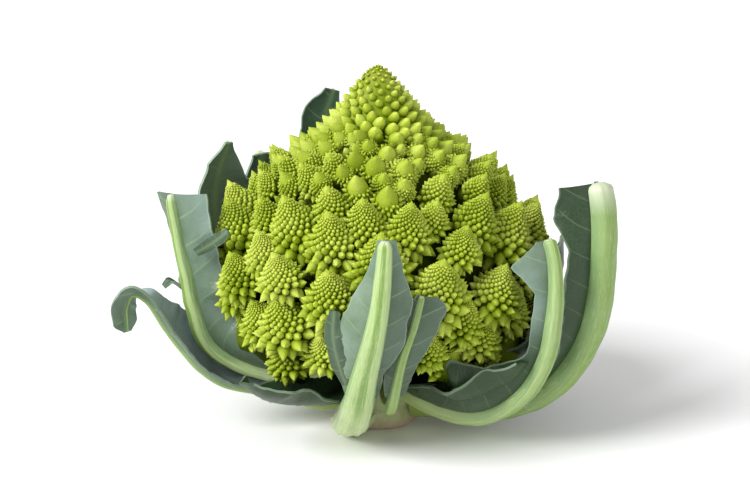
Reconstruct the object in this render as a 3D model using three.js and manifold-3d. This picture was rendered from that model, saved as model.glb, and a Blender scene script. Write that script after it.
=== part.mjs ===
// Romanesco head: a curd of spiralling florets on a cut stalk, held in trimmed wrapper leaves.
// Millimetres, +Z up. The origin is the centre of the stalk's cut face. The front of the head looks along -Y.
import * as THREE from "three";
import { mergeVertices } from "three/addons/utils/BufferGeometryUtils.js";
import Module from "manifold-3d";

const wasm = await Module();
wasm.setup();

// Driving dimensions.
const HEAD_HEIGHT = 161;
const STALK_RADIUS = 17;
const STALK_HEIGHT = 27;
const STALK_SIDES = 20;
const JOINT_GAP = 0.3; // clear space between pieces that touch
const BLADE_THICKNESS = 1.1;

// The spiral of florets. CROWN is the outline on which the floret tips lie: distance from the axis, height.
const CROWN = [
  [0, HEAD_HEIGHT],
  [5, 158.5],
  [10, 153.5],
  [15.5, 147],
  [21, 140.5],
  [28, 134.5],
  [37, 129.5],
  [45, 126],
  [53, 122],
  [62, 115.5],
  [70, 106],
  [74, 94],
  [74, 80],
  [71, 66],
  [65, 53],
];
const GOLDEN_ANGLE = THREE.MathUtils.degToRad(137.508);
const FIRST_FLORET_ANGLE = THREE.MathUtils.degToRad(64);
const PACKING = 4.1; // crown area that a floret takes, in squares of its radius
const SPIRAL_STEP = 0.25; // step along the crown while the florets are counted off
// By distance along the crown from its tip: floret radius, height over radius, tilt from the vertical in degrees.
const FLORET_SIZE = [
  [0, 0.7, 1.1, 0],
  [25, 2.4, 1.7, 10],
  [36, 3.2, 2.2, 12],
  [45, 4.2, 2.7, 13],
  [56, 5.8, 2.8, 13],
  [66, 8.0, 2.5, 15],
  [78, 10.6, 2.35, 20],
  [92, 12.6, 2.2, 30],
  [112, 13.6, 2.1, 42],
  [150, 13.8, 1.95, 60],
];
const TIP_CONE_END = 36; // the crown's first stretch is one cone with its buds in relief
const SMOOTH_BUD = 5.4; // florets up to this radius are smooth, and larger ones have buds of their own
const LARGE_FLORET = 9.5; // larger ones still have more buds

// The florets that face the front, as they show from FRONT_EYE: right of the stalk's middle, up from its foot
// and half the floret's breadth, in FRONT_UNIT.
const FRONT_UNIT = 0.44;
const FRONT_EYE = { distance: 900, rise: THREE.MathUtils.degToRad(15), aim: 75 };
const FRONT_FLORETS = [
  [-165, 244, 26],
  [-102, 269, 18],
  [-80, 289, 17],
  [-70, 306, 13],
  [-97, 229, 28],
  [-53, 270, 18],
  [-53, 238, 19],
  [-52, 213, 27],
  [-16, 226, 24],
  [3, 191, 29],
  [-106, 171, 22],
  [-52, 154, 27],
  [-104, 129, 28],
  [-150, 172, 22],
  [-155, 120, 24],
  [34, 222, 24],
  [30, 262, 15],
  [69, 250, 19],
  [90, 281, 16],
  [118, 276, 18],
  [110, 250, 17],
  [111, 232, 26],
  [161, 223, 24],
  [67, 165, 31],
  [130, 160, 26],
  [8, 120, 26],
  [-60, 88, 20],
  [52, 92, 20],
  [112, 108, 22],
  [-3, 265, 13],
  [-23, 247, 13],
  [-26, 270, 11],
  [11, 276, 11],
  [10, 237, 14],
  [-28, 289, 8],
  [22, 289, 10],
  [-11, 281, 8],
];

// The leaves. Each row is a stop along the leaf's rib, from the stalk to the tip: x, y, z, the rib's width, the
// blade's width to the left and right of the rib as seen from outside, the angles in degrees that each side has
// curled inward by its margin, and a twist in degrees about the rib where there is one.
// `facing` is the compass angle of the leaf's outer side: 0 is the front and 90 the right.
const LEAVES = {
  front: {
    facing: -4, ribDepth: 0.42, bladeFrom: 3, ruffle: 0.9, waves: 2.5,
    rows: [
      [-8, -13, 9, 16, 0, 0, 0, 0],
      [-12, -26, 9.5, 17, 0, 0, 0, 0],
      [-11, -42, 16, 15, 4, 4, 10, 10],
      [-8, -58, 29.5, 12.5, 6, 8, 15, 20],
      [-5.5, -74, 45.5, 10.5, 11, 8, 25, 20],
      [-2, -85, 62.3, 9, 15, 13, 40, 25],
      [0.8, -91, 79, 7.5, 13, 13.5, 40, 40],
      [2.2, -93, 94, 6.5, 6, 8, 30, 40],
      [2.8, -93, 106.5, 5.5, 3, 4.5, 20, 50],
    ],
  },
  front_inner: {
    facing: 8, ribDepth: 0.6, bladeFrom: 2.5, ruffle: 1.2, waves: 2,
    rows: [
      [3, -12, 22, 6, 0, 0, 0, 0],
      [4, -32, 21, 6, 0, 0, 0, 0],
      [5.5, -50, 24, 5, 2, 2, 10, 10],
      [7.5, -65, 38, 4, 5, 6, 30, 20],
      [10, -75, 53, 3.4, 7, 8, 50, 20],
      [14.5, -78.5, 67.3, 3, 7, 9, 50, 10],
      [17.5, -79, 79.5, 2.6, 3, 13, 30, 10],
    ],
  },
  right_inner: {
    facing: 45, ribDepth: 0.6, bladeFrom: 0.5, ruffle: 1.6, waves: 4,
    rows: [
      [9, -11, 22, 11, 9, 6, 40, 20],
      [28, -28, 17.5, 10, 22, 8, 80, 30],
      [42, -38, 17, 9, 32, 9, 95, 40],
      [53, -46, 23, 8, 34, 9, 95, 40],
      [62.5, -52, 33.5, 7.5, 22, 8, 80, 45],
      [69, -56, 48, 7, 8, 7, 50, 50],
      [71, -58, 62, 6.5, 9, 7, 50, 50],
      [72, -58, 75.5, 6, 8, 7, 50, 50],
      [71, -57, 89, 5.5, 19, 7, 50, 50],
      [69, -55, 97, 5, 5, 5, 40, 50],
    ],
  },
  right_outer: {
    facing: 55, ribDepth: 0.55, bladeFrom: 1.5, ruffle: 1.4, waves: 3,
    rows: [
      [12, -6, 12, 12, 0, 0, 0, 0],
      [43, -18, 14, 13, 7, 7, 10, 10],
      [61, -25, 19, 13, 8, 12, 10, 40],
      [74, -30, 28, 13, 8, 17, 15, 65],
      [83, -33, 40, 13, 8, 20, 20, 75],
      [89, -35, 54, 12.5, 9, 21, 25, 80],
      [92, -36, 71, 12, 10, 21, 35, 80],
      [93, -36, 88, 11.5, 11, 19, 60, 80],
      [92.5, -35, 103, 11, 22, 14, 80, 80],
      [91, -33, 116, 10.5, 17, 8, 80, 60],
    ],
  },
  left_inner: {
    facing: -50, ribDepth: 0.55, bladeFrom: 1, ruffle: 1.0, waves: 3,
    rows: [
      [-13, 2, 24, 9, 4, 5, 10, 10],
      [-38, -7, 25, 9, 8, 16, 30, 30],
      [-58, -11, 30, 8, 8, 21, 40, 50],
      [-73.5, -14, 41, 7.5, 5, 20, 30, 55],
      [-79, -15, 57, 7, 4, 18, 20, 55],
      [-80.7, -15, 65, 6.4, 17, 18, 20, 45],
      [-82, -15, 73, 5.8, 3.4, 18, 20, 42],
      [-84.5, -15, 84, 5.2, 9, 19, 15, 38],
      [-88, -15, 107, 4.6, 12, 19, 10, 35],
    ],
  },
  left_outer: {
    facing: -78, ribDepth: 0.5, bladeFrom: 1, ruffle: 1.0, waves: 4,
    rows: [
      [-12, -2, 12, 10, 0, 0, 0, 0],
      [-24, -8, 10.5, 11, 13, 5, 40, 10],
      [-38, -10, 14, 10, 20, 6, 60, 10],
      [-52, -12, 18, 9, 22, 6, 70, 20],
      [-67, -16, 22.5, 8, 24, 7, 80, 30],
      [-77, -19, 30, 7, 23, 7, 80, 30],
      [-84, -21, 39, 6.5, 20, 7, 75, 30],
      [-91, -24, 50, 5.5, 17, 6, 65, 30],
      [-98, -26, 62, 4.5, 12, 6, 50, 20, 10],
      [-105, -27, 66, 4, 6, 6, 20, 20, 30],
      [-109.5, -27, 60, 3.5, 6, 6, 20, 20, 60],
      [-109, -27, 49, 3, 3, 3, 10, 10, 70],
    ],
  },
  back_left: {
    facing: -142, ribDepth: 0.5, bladeFrom: 1, ruffle: 1.6, waves: 3,
    rows: [
      [-9, 8, 21, 9, 5, 5, 10, 10],
      [-32, 24, 20, 9, 16, 16, 35, 35],
      [-54, 39, 29, 8, 24, 22, 45, 45],
      [-67, 49, 48, 7, 26, 24, 50, 50],
      [-74, 54, 68, 6, 24, 24, 40, 40],
      [-76, 54, 88, 5, 22, 17, 30, 30],
      [-73, 50, 104, 4, 12, 8, 20, 20],
      [-68, 45, 117, 2.6, 2, 2, 20, 20],
    ],
  },
  rear_left: {
    facing: -152, ribDepth: 0.5, bladeFrom: 1, ruffle: 1.4, waves: 3,
    rows: [
      [-9, 13, 11, 10, 5, 5, 10, 10],
      [-30, 41, 12.5, 10, 14, 7, 30, 10],
      [-43, 67, 23, 9, 20, 9, 40, 20],
      [-53, 84, 44, 8, 22, 9, 45, 20],
      [-57, 91, 66, 7, 18, 8, 40, 20],
      [-57, 85, 88, 6.5, 12, 9, 40, 30],
      [-55, 77, 105, 6, 5, 5, 30, 30],
    ],
  },
  back: {
    facing: 180, ribDepth: 0.5, bladeFrom: 1, ruffle: 1.6, waves: 3,
    rows: [
      [-2, 14, 21, 10, 5, 5, 10, 10],
      [-4, 42, 19, 10, 18, 18, 30, 30],
      [-6, 69, 29, 9, 26, 26, 45, 45],
      [-10, 84, 52, 8, 28, 28, 50, 50],
      [-15, 90, 76, 7, 26, 26, 45, 45],
      [-21, 88, 100, 6, 18, 20, 35, 35],
      [-25, 84, 120, 4.5, 9, 12, 30, 30],
      [-21, 80, 135, 3, 3, 4, 20, 20],
    ],
  },
  back_right: {
    facing: 128, ribDepth: 0.5, bladeFrom: 1, ruffle: 1.6, waves: 3,
    rows: [
      [11, 9, 11, 11, 5, 5, 10, 10],
      [34, 27, 14, 11, 18, 18, 40, 40],
      [55, 44, 25, 10, 36, 28, 50, 50],
      [67, 54, 42, 8, 42, 30, 55, 55],
      [71, 57, 60, 6, 32, 20, 50, 50],
      [68, 54, 78, 3.5, 4, 4, 20, 20],
    ],
  },
};
const RIB_GAP = 0.65; // clear space between a rib and the curled blade on it
const BLADE_STEP = 0.5; // stops from one row of mesh points to the next
const BLADE_COLUMNS = 4; // mesh columns on each side of the rib
const NARROWEST_CURL = 8; // narrower sides curl no tighter than one this wide

const lerp = THREE.MathUtils.lerp;

// Linear look-up in rows sorted by their first number.
function lookUp(rows, at, column) {
  const last = rows.length - 1;
  if (at <= rows[0][0]) return rows[0][column];
  for (let i = 1; i <= last; i++) {
    if (at <= rows[i][0]) {
      const share = (at - rows[i - 1][0]) / (rows[i][0] - rows[i - 1][0]);
      return lerp(rows[i - 1][column], rows[i][column], share);
    }
  }
  return rows[last][column];
}

// The crown with the distance along it in front: distance, radius, height.
const crownRows = [[0, ...CROWN[0]]];
for (let i = 1; i < CROWN.length; i++) {
  const step = Math.hypot(CROWN[i][0] - CROWN[i - 1][0], CROWN[i][1] - CROWN[i - 1][1]);
  crownRows.push([crownRows[i - 1][0] + step, ...CROWN[i]]);
}
const CROWN_LENGTH = crownRows[crownRows.length - 1][0];

// One floret's tip, axis and size at a distance along the crown and an angle round the stalk.
function floretAt(along, angle) {
  const rim = lookUp(crownRows, along, 1);
  const radius = lookUp(FLORET_SIZE, along, 1);
  const height = radius * lookUp(FLORET_SIZE, along, 2);
  const tilt = THREE.MathUtils.degToRad(lookUp(FLORET_SIZE, along, 3));
  const outward = new THREE.Vector3(Math.cos(angle), Math.sin(angle), 0);
  const axis = outward.clone().multiplyScalar(Math.sin(tilt));
  axis.z = Math.cos(tilt);
  const tip = outward.clone().multiplyScalar(rim);
  tip.z = lookUp(crownRows, along, 2);
  return { along, angle, radius, height, axis, tip };
}

// Finds where on the crown a floret sits that shows at the given place, by trying every distance along it.
function frontFloret([right, up, breadth]) {
  const { distance, rise, aim } = FRONT_EYE;
  let best = null;
  for (let along = 0; along <= CROWN_LENGTH; along += SPIRAL_STEP) {
    const rim = lookUp(crownRows, along, 1);
    const height = lookUp(crownRows, along, 2) - aim;
    let x = right * FRONT_UNIT;
    let [y, nearness] = [0, 1];
    for (let pass = 0; pass < 3; pass++) {
      y = -Math.sqrt(Math.max(0, rim * rim - x * x));
      nearness = distance / (distance + y * Math.cos(rise) - height * Math.sin(rise));
      x = (right * FRONT_UNIT) / nearness;
    }
    const shown = (height * Math.cos(rise) + y * Math.sin(rise)) * nearness;
    const miss = Math.abs(shown - (up * FRONT_UNIT - aim * Math.cos(rise))) + Math.max(0, Math.abs(x) - rim);
    if (!best || miss < best.miss) best = { miss, along, angle: Math.atan2(y, x), nearness };
  }
  const floret = floretAt(best.along, best.angle);
  const slenderness = floret.height / floret.radius;
  floret.radius = (breadth * FRONT_UNIT) / best.nearness;
  floret.height = floret.radius * slenderness;
  return floret;
}

// Counts the florets off from the rim to the tip, a golden angle apart, each taking its share of the crown.
function floretSpiral() {
  const found = [];
  let filled = 0;
  for (let along = CROWN_LENGTH; along > TIP_CONE_END; along -= SPIRAL_STEP) {
    const radius = lookUp(FLORET_SIZE, along, 1);
    const girth = 2 * Math.PI * lookUp(crownRows, along, 1);
    filled += (SPIRAL_STEP * girth) / (PACKING * radius * radius);
    if (filled >= found.length) {
      found.push(floretAt(along, FIRST_FLORET_ANGLE + found.length * GOLDEN_ANGLE));
    }
  }
  return found;
}

// All florets: those of the front, and those of the spiral that have room beside them.
function allFlorets() {
  const CLOSEST = 0.82; // share of two florets' radii that their tips are apart at the least
  const front = FRONT_FLORETS.map(frontFloret);
  const hasRoom = (floret) =>
    front.every((other) => floret.tip.distanceTo(other.tip) > CLOSEST * (floret.radius + other.radius));
  return [...front, ...floretSpiral().filter(hasRoom)];
}

// A closed mesh as a solid, and a solid as a mesh geometry.
function solidOf(geometry) {
  const bare = new THREE.BufferGeometry();
  bare.setAttribute("position", geometry.getAttribute("position"));
  if (geometry.index) bare.setIndex(geometry.index);
  const merged = mergeVertices(bare, 1e-4);
  return new wasm.Manifold(
    new wasm.Mesh({
      numProp: 3,
      vertProperties: new Float32Array(merged.attributes.position.array),
      triVerts: new Uint32Array(merged.index.array),
    }),
  );
}

function geometryOf(solid) {
  const mesh = solid.getMesh();
  const geometry = new THREE.BufferGeometry();
  geometry.setAttribute("position", new THREE.BufferAttribute(mesh.vertProperties, 3));
  geometry.setIndex(new THREE.BufferAttribute(mesh.triVerts, 1));
  const flat = geometry.toNonIndexed();
  flat.computeVertexNormals();
  return flat;
}

// The one outer body of a fused solid: small hollows that the fusing seals are filled, and scraps are dropped.
function outerBody(solid) {
  return solid.decompose().reduce((largest, body) => (body.volume() > largest.volume() ? body : largest));
}

function geometryFrom(points, faces) {
  const geometry = new THREE.BufferGeometry();
  geometry.setAttribute("position", new THREE.Float32BufferAttribute(points.flat(), 3));
  geometry.setIndex(faces.flat());
  return geometry;
}

// A body whose mesh points stand out and sink in by turns, so that each raised one is a pointed bud. `outline`
// gives the girth and the depth under the tip at a share of the way down. The tip is at the origin.
function buddedGeometry(outline, columns, rings, foot) {
  const BUD_RISE = 0.22; // raised and sunken points, as shares of the space that a bud has
  const BUD_DIP = 0.2;
  const BUD_LIFT = 0.16;
  const SPIRAL_TWIST = 0.35; // columns turned per ring
  const points = [[0, 0, 0]];
  const faces = [];
  for (let ring = 1; ring <= rings; ring++) {
    const [girth, depth] = outline(ring / rings);
    const room = (2 * Math.PI * girth) / columns;
    for (let column = 0; column < columns; column++) {
      const raised = (column + ring) % 2 === 0;
      const reach = girth + (raised ? BUD_RISE : -BUD_DIP) * room;
      const angle = ((column + ring * SPIRAL_TWIST) * 2 * Math.PI) / columns;
      points.push([reach * Math.cos(angle), reach * Math.sin(angle), (raised ? BUD_LIFT * room : 0) - depth]);
    }
  }
  const at = (ring, column) => 1 + (ring - 1) * columns + ((column + columns) % columns);
  for (let column = 0; column < columns; column++) {
    faces.push([0, at(1, column), at(1, column + 1)]);
  }
  for (let ring = 1; ring < rings; ring++) {
    for (let column = 0; column < columns; column++) {
      const [a, b] = [at(ring, column), at(ring + 1, column)];
      const [c, d] = [at(ring + 1, column + 1), at(ring, column + 1)];
      const raised = (column + ring) % 2 === 0;
      if (raised) {
        faces.push([a, b, d], [b, c, d]);
      } else {
        faces.push([a, b, c], [a, c, d]);
      }
    }
  }
  const root = points.push([0, 0, -foot]) - 1;
  for (let column = 0; column < columns; column++) {
    faces.push([at(rings, column + 1), at(rings, column), root]);
  }
  return geometryFrom(points, faces);
}

// A floret: a tall rounded cone of buds.
function floretGeometry(radius, height, columns, rings) {
  const outline = (share) => [
    radius * Math.sin((share ** 1.15 * Math.PI) / 2) ** 0.85,
    height * share ** 1.15,
  ];
  return buddedGeometry(outline, columns, rings, height + 0.9 * radius);
}

// A smooth young bud: a low dome with a blunt point, its top at the origin.
function domeGeometry(radius, height) {
  const SIDES = 5;
  const outline = [
    new THREE.Vector2(0, -height - 1.2 * radius),
    new THREE.Vector2(radius * 1.08, -height * 0.95),
    new THREE.Vector2(radius * 0.86, -height * 0.36),
    new THREE.Vector2(0, 0),
  ];
  return new THREE.LatheGeometry(outline, SIDES);
}

// Puts a floret's solid with its tip and axis where the spiral says.
function placed(geometry, floret) {
  const up = geometry.userData.axisY ? new THREE.Vector3(0, 1, 0) : new THREE.Vector3(0, 0, 1);
  const turn = new THREE.Quaternion().setFromUnitVectors(up, floret.axis);
  const spin = new THREE.Quaternion().setFromAxisAngle(floret.axis, floret.angle);
  const matrix = new THREE.Matrix4().compose(
    floret.tip,
    spin.multiply(turn),
    new THREE.Vector3(1, 1, 1),
  );
  return solidOf(geometry.clone().applyMatrix4(matrix));
}

function lathe(outline, segments) {
  const points = outline.map(([radius, height]) => new THREE.Vector2(radius, height));
  return new THREE.LatheGeometry(points, segments).rotateX(Math.PI / 2);
}

// The body under the florets: it follows the floret roots, and runs down to the stalk as the gathered branches.
function coreSolid() {
  const CORE_SIDES = 16;
  const outline = [[0, STALK_HEIGHT + JOINT_GAP]];
  outline.push([STALK_RADIUS * 0.92, STALK_HEIGHT + JOINT_GAP]);
  outline.push([25, 34]);
  const depth = 1.02; // share of a floret's height at which the body lies under its tip
  const stops = [CROWN_LENGTH, 122, 100, 84, 70, 56, 45, TIP_CONE_END];
  for (const along of stops) {
    const f = floretAt(along, 0);
    const root = f.tip.clone().addScaledVector(f.axis, -f.height * depth);
    outline.push([root.x, root.z]);
  }
  outline.push([0, HEAD_HEIGHT - 14]);
  return solidOf(lathe(outline, CORE_SIDES));
}

// The curd's tip, with its smallest buds as relief.
function tipConeSolid() {
  const TIP_COLUMNS = 16;
  const TIP_RINGS = 9;
  const outline = (share) => {
    const along = TIP_CONE_END * 1.12 * share;
    return [lookUp(crownRows, along, 1) - 0.6, HEAD_HEIGHT - lookUp(crownRows, along, 2)];
  };
  return solidOf(buddedGeometry(outline, TIP_COLUMNS, TIP_RINGS, 50).translate(0, 0, HEAD_HEIGHT));
}

function curdGeometry() {
  const solids = [coreSolid(), tipConeSolid()];
  for (const floret of allFlorets()) {
    if (floret.radius > LARGE_FLORET) {
      solids.push(placed(floretGeometry(floret.radius, floret.height, 8, 4), floret));
    } else if (floret.radius > SMOOTH_BUD) {
      solids.push(placed(floretGeometry(floret.radius, floret.height, 6, 3), floret));
    } else {
      const dome = domeGeometry(floret.radius, floret.height);
      dome.userData.axisY = true;
      solids.push(placed(dome, floret));
    }
  }
  return geometryOf(outerBody(wasm.Manifold.union(solids)));
}

// The cut stalk, with the ridges that old leaf bases leave.
function stalkGeometry() {
  const outline = [
    [0, 0],
    [STALK_RADIUS - 1.5, 0],
    [STALK_RADIUS, 1.2],
    [STALK_RADIUS + 1.2, 8],
    [STALK_RADIUS + 0.2, 10],
    [STALK_RADIUS + 1.4, 18],
    [STALK_RADIUS + 0.4, 20],
    [STALK_RADIUS + 1, STALK_HEIGHT],
    [0, STALK_HEIGHT],
  ];
  return lathe(outline, STALK_SIDES);
}

// A value of the leaf's rows at a stop that lies between two of them.
function rowValue(leaf, stop, column) {
  const low = Math.min(Math.floor(stop), leaf.rows.length - 2);
  return lerp(leaf.rows[low][column] ?? 0, leaf.rows[low + 1][column] ?? 0, stop - low);
}

function smoothValue(leaf, stop, column) {
  const last = leaf.rows.length - 1;
  const low = Math.min(Math.floor(stop), last - 1);
  const share = stop - low;
  const [b, c] = [leaf.rows[low][column], leaf.rows[low + 1][column]];
  const a = low > 0 ? leaf.rows[low - 1][column] : 2 * b - c;
  const d = low + 2 <= last ? leaf.rows[low + 2][column] : 2 * c - b;
  const bend = (2 * a - 5 * b + 4 * c - d) * share ** 2 + (3 * b - a - 3 * c + d) * share ** 3;
  return b + 0.5 * ((c - a) * share + bend);
}

function ribPoint(leaf, stop) {
  return new THREE.Vector3(...[0, 1, 2].map((column) => smoothValue(leaf, stop, column)));
}

// The middle of the rib at a stop, the direction across it and the direction out of the leaf's outer side.
function leafFrame(leaf, stop) {
  const STEP = 0.02;
  const last = leaf.rows.length - 1;
  const ahead = ribPoint(leaf, Math.min(stop + STEP, last));
  const along = ahead.sub(ribPoint(leaf, Math.max(stop - STEP, 0))).normalize();
  const facing = THREE.MathUtils.degToRad(leaf.facing);
  const across = new THREE.Vector3(Math.cos(facing), Math.sin(facing), 0);
  across.addScaledVector(along, -across.dot(along)).normalize();
  across.applyAxisAngle(along, THREE.MathUtils.degToRad(rowValue(leaf, stop, 8)));
  const outward = new THREE.Vector3().crossVectors(across, along).normalize();
  return { middle: ribPoint(leaf, stop), across, outward };
}

// A point on the blade's middle surface `side` mm from the rib's middle, lifted outward by `lift`.
function leafPoint(leaf, stop, side, lift) {
  const { middle, across, outward } = leafFrame(leaf, stop);
  const width = Math.max(rowValue(leaf, stop, side < 0 ? 4 : 5), NARROWEST_CURL);
  const fold = THREE.MathUtils.degToRad(rowValue(leaf, stop, side < 0 ? 6 : 7));
  const curl = Math.max(fold, 0.01) / width;
  const turned = curl * side;
  return middle
    .addScaledVector(across, Math.sin(turned) / curl)
    .addScaledVector(outward, (Math.cos(turned) - 1) / curl)
    .addScaledVector(outward, lift * Math.cos(turned))
    .addScaledVector(across, lift * Math.sin(turned));
}

// A closed mesh through rows of points that each go once round.
function skin(rings) {
  const size = rings[0].length;
  const faces = [];
  for (let row = 0; row + 1 < rings.length; row++) {
    for (let i = 0; i < size; i++) {
      const [a, b] = [row * size + i, row * size + ((i + 1) % size)];
      const [c, d] = [b + size, a + size];
      faces.push([a, b, c], [a, c, d]);
    }
  }
  const last = (rings.length - 1) * size;
  for (let i = 1; i + 1 < size; i++) {
    faces.push([0, i + 1, i], [last, last + i, last + i + 1]);
  }
  return geometryFrom(rings.flat().map((point) => point.toArray()), faces);
}

function bladeStops(leaf) {
  const last = leaf.rows.length - 1;
  const stops = [];
  for (let stop = leaf.bladeFrom; stop <= last; stop += BLADE_STEP) {
    stops.push(stop);
  }
  return stops;
}

// The blade: a thin waved sheet over the rib's inner side, with the same diagonals on both faces.
function bladeGeometry(leaf) {
  const stops = bladeStops(leaf);
  const rows = stops.length;
  const columns = 2 * BLADE_COLUMNS + 1;
  const points = [];
  const faces = [];
  for (const lift of [BLADE_THICKNESS / 2, -BLADE_THICKNESS / 2]) {
    for (const stop of stops) {
      const ribHalf = rowValue(leaf, stop, 3) / 2;
      const share = (stop - leaf.bladeFrom) / (stops[rows - 1] - leaf.bladeFrom);
      for (let column = -BLADE_COLUMNS; column <= BLADE_COLUMNS; column++) {
        const width = Math.max(rowValue(leaf, stop, column < 0 ? 4 : 5), 1.5);
        const side = (column / BLADE_COLUMNS) * width;
        const free = Math.max(0, (Math.abs(side) - ribHalf) / Math.max(width, 6));
        const swing = Math.sin(2 * Math.PI * leaf.waves * share + (column < 0 ? 1 : 3.6));
        const wave = leaf.ruffle * free * swing * (width / 10);
        points.push(leafPoint(leaf, stop, side, lift + wave).toArray());
      }
    }
  }
  const sheet = rows * columns;
  const at = (row, column) => row * columns + column;
  for (let row = 0; row + 1 < rows; row++) {
    for (let column = 0; column + 1 < columns; column++) {
      const [a, b] = [at(row, column), at(row, column + 1)];
      const [c, d] = [at(row + 1, column + 1), at(row + 1, column)];
      faces.push([a, b, c], [a, c, d]);
      faces.push([a + sheet, c + sheet, b + sheet], [a + sheet, d + sheet, c + sheet]);
    }
  }
  const rim = [];
  for (let column = 0; column < columns; column++) {
    rim.push(at(0, column));
  }
  for (let row = 1; row < rows; row++) {
    rim.push(at(row, columns - 1));
  }
  for (let column = columns - 2; column >= 0; column--) {
    rim.push(at(rows - 1, column));
  }
  for (let row = rows - 2; row > 0; row--) {
    rim.push(at(row, 0));
  }
  rim.forEach((a, i) => {
    const b = rim[(i + 1) % rim.length];
    faces.push([b, a, a + sheet], [b, a + sheet, b + sheet]);
  });
  return geometryFrom(points, faces);
}

// The rib: round outside, and on the inside following the blade on it. Its foot is cut to fit the stalk.
function midribGeometry(leaf, stalkRoom) {
  const FOOT_STATIONS = 3;
  const stops = bladeStops(leaf);
  for (let i = FOOT_STATIONS - 1; i >= 0; i--) {
    stops.unshift((leaf.bladeFrom * i) / FOOT_STATIONS);
  }
  const inner = BLADE_THICKNESS / 2 + RIB_GAP;
  const rings = stops.map((stop) => {
    const half = rowValue(leaf, stop, 3) / 2;
    const depth = 2 * half * leaf.ribDepth;
    const outline = [
      [-1, 0],
      [-0.84, 0.62],
      [-0.4, 1],
      [0.4, 1],
      [0.84, 0.62],
      [1, 0],
      [0, 0],
    ];
    return outline.map(([side, rise]) => leafPoint(leaf, stop, side * half, inner + rise * depth));
  });
  const rib = solidOf(skin(rings));
  return geometryOf(outerBody(rib.subtract(stalkRoom)));
}

const group = new THREE.Group();
group.name = "romanesco_head";

const material = {
  curd: new THREE.MeshStandardMaterial({ color: 0xa9bf2c, roughness: 0.6, metalness: 0 }),
  stalk: new THREE.MeshStandardMaterial({ color: 0xc9c3a2, roughness: 0.7, metalness: 0 }),
  midrib: new THREE.MeshStandardMaterial({ color: 0xc4dba0, roughness: 0.5, metalness: 0 }),
  blade: new THREE.MeshStandardMaterial({ color: 0x5f7f66, roughness: 0.65, metalness: 0 }),
};

function addPiece(name, geometry, finish) {
  const mesh = new THREE.Mesh(geometry, finish);
  mesh.name = name;
  group.add(mesh);
}

addPiece("curd", curdGeometry(), material.curd);
addPiece("stalk", stalkGeometry(), material.stalk);
const stalkRoomRadius = STALK_RADIUS + 1.4 + JOINT_GAP;
const stalkRoomOutline = [
  [0, -5],
  [stalkRoomRadius, -5],
  [stalkRoomRadius, STALK_HEIGHT + 6],
  [0, STALK_HEIGHT + 6],
];
const stalkRoom = solidOf(lathe(stalkRoomOutline, STALK_SIDES));
for (const [name, leaf] of Object.entries(LEAVES)) {
  addPiece(`${name}_midrib`, midribGeometry(leaf, stalkRoom), material.midrib);
  addPiece(`${name}_blade`, geometryOf(solidOf(bladeGeometry(leaf))), material.blade);
}

export default group;
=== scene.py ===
"""A romanesco head in its trimmed leaves: curd, stalk, ten leaves and a stage, laid out as an add-on."""

import math

import bpy
import numpy as np
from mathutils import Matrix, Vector


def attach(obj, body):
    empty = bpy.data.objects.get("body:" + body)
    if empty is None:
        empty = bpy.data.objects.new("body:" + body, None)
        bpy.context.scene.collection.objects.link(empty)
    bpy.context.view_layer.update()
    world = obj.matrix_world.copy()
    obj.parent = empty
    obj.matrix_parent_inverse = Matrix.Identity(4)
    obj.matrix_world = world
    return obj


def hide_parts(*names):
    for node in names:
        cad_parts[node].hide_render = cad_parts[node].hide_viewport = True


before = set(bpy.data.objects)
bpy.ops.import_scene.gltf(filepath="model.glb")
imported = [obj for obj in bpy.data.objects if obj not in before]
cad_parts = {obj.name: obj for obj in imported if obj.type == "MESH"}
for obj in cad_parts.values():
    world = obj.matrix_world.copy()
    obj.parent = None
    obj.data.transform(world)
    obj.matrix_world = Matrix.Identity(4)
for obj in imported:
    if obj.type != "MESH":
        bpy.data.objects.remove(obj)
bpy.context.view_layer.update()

bl_info = {
    "name": "Romanesco Head",
    "version": (1, 0, 0),
    "blender": (4, 5, 0),
    "location": "3D View > Sidebar > Romanesco",
    "description": "Builds a romanesco head with its leaves on a plain stage",
    "category": "Mesh",
}

MM = 0.001

# All sizes in the tables are millimetres, as in the part's source. CROWN is the outline on which the floret
# tips lie: distance from the axis, height.
CROWN = [
    (0, 161), (5, 158.5), (10, 153.5), (15.5, 147), (21, 140.5), (28, 134.5), (37, 129.5), (45, 126),
    (53, 122), (62, 115.5), (70, 106), (74, 94), (74, 80), (71, 66), (65, 53),
]
# By distance along the crown from its tip: floret radius, height over radius, tilt from the vertical.
FLORET_SIZE = [
    (0, 0.7, 1.1, 0), (25, 2.4, 1.7, 10), (36, 3.2, 2.2, 12), (45, 4.2, 2.7, 13), (56, 5.8, 2.8, 13),
    (66, 8.0, 2.5, 15), (78, 10.6, 2.35, 20), (92, 12.6, 2.2, 30), (112, 13.6, 2.1, 42),
    (150, 13.8, 1.95, 60),
]
# How the dressed florets stand, by distance along the crown: height over radius, tilt from the vertical.
FLORET_STANCE = [
    (0, 1.1, 40), (25, 1.5, 48), (36, 2.0, 48), (45, 2.3, 46), (56, 2.45, 42), (66, 2.4, 35), (78, 2.2, 28),
    (92, 1.95, 24), (112, 1.85, 25), (150, 1.6, 38),
]
# The buds of the curd's tip: distance along the crown, radius.
TIP_BUDS = [(0, 0.42), (6, 0.66), (12, 0.98), (18, 1.38), (25, 2.0), (36, 3.0)]
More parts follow.
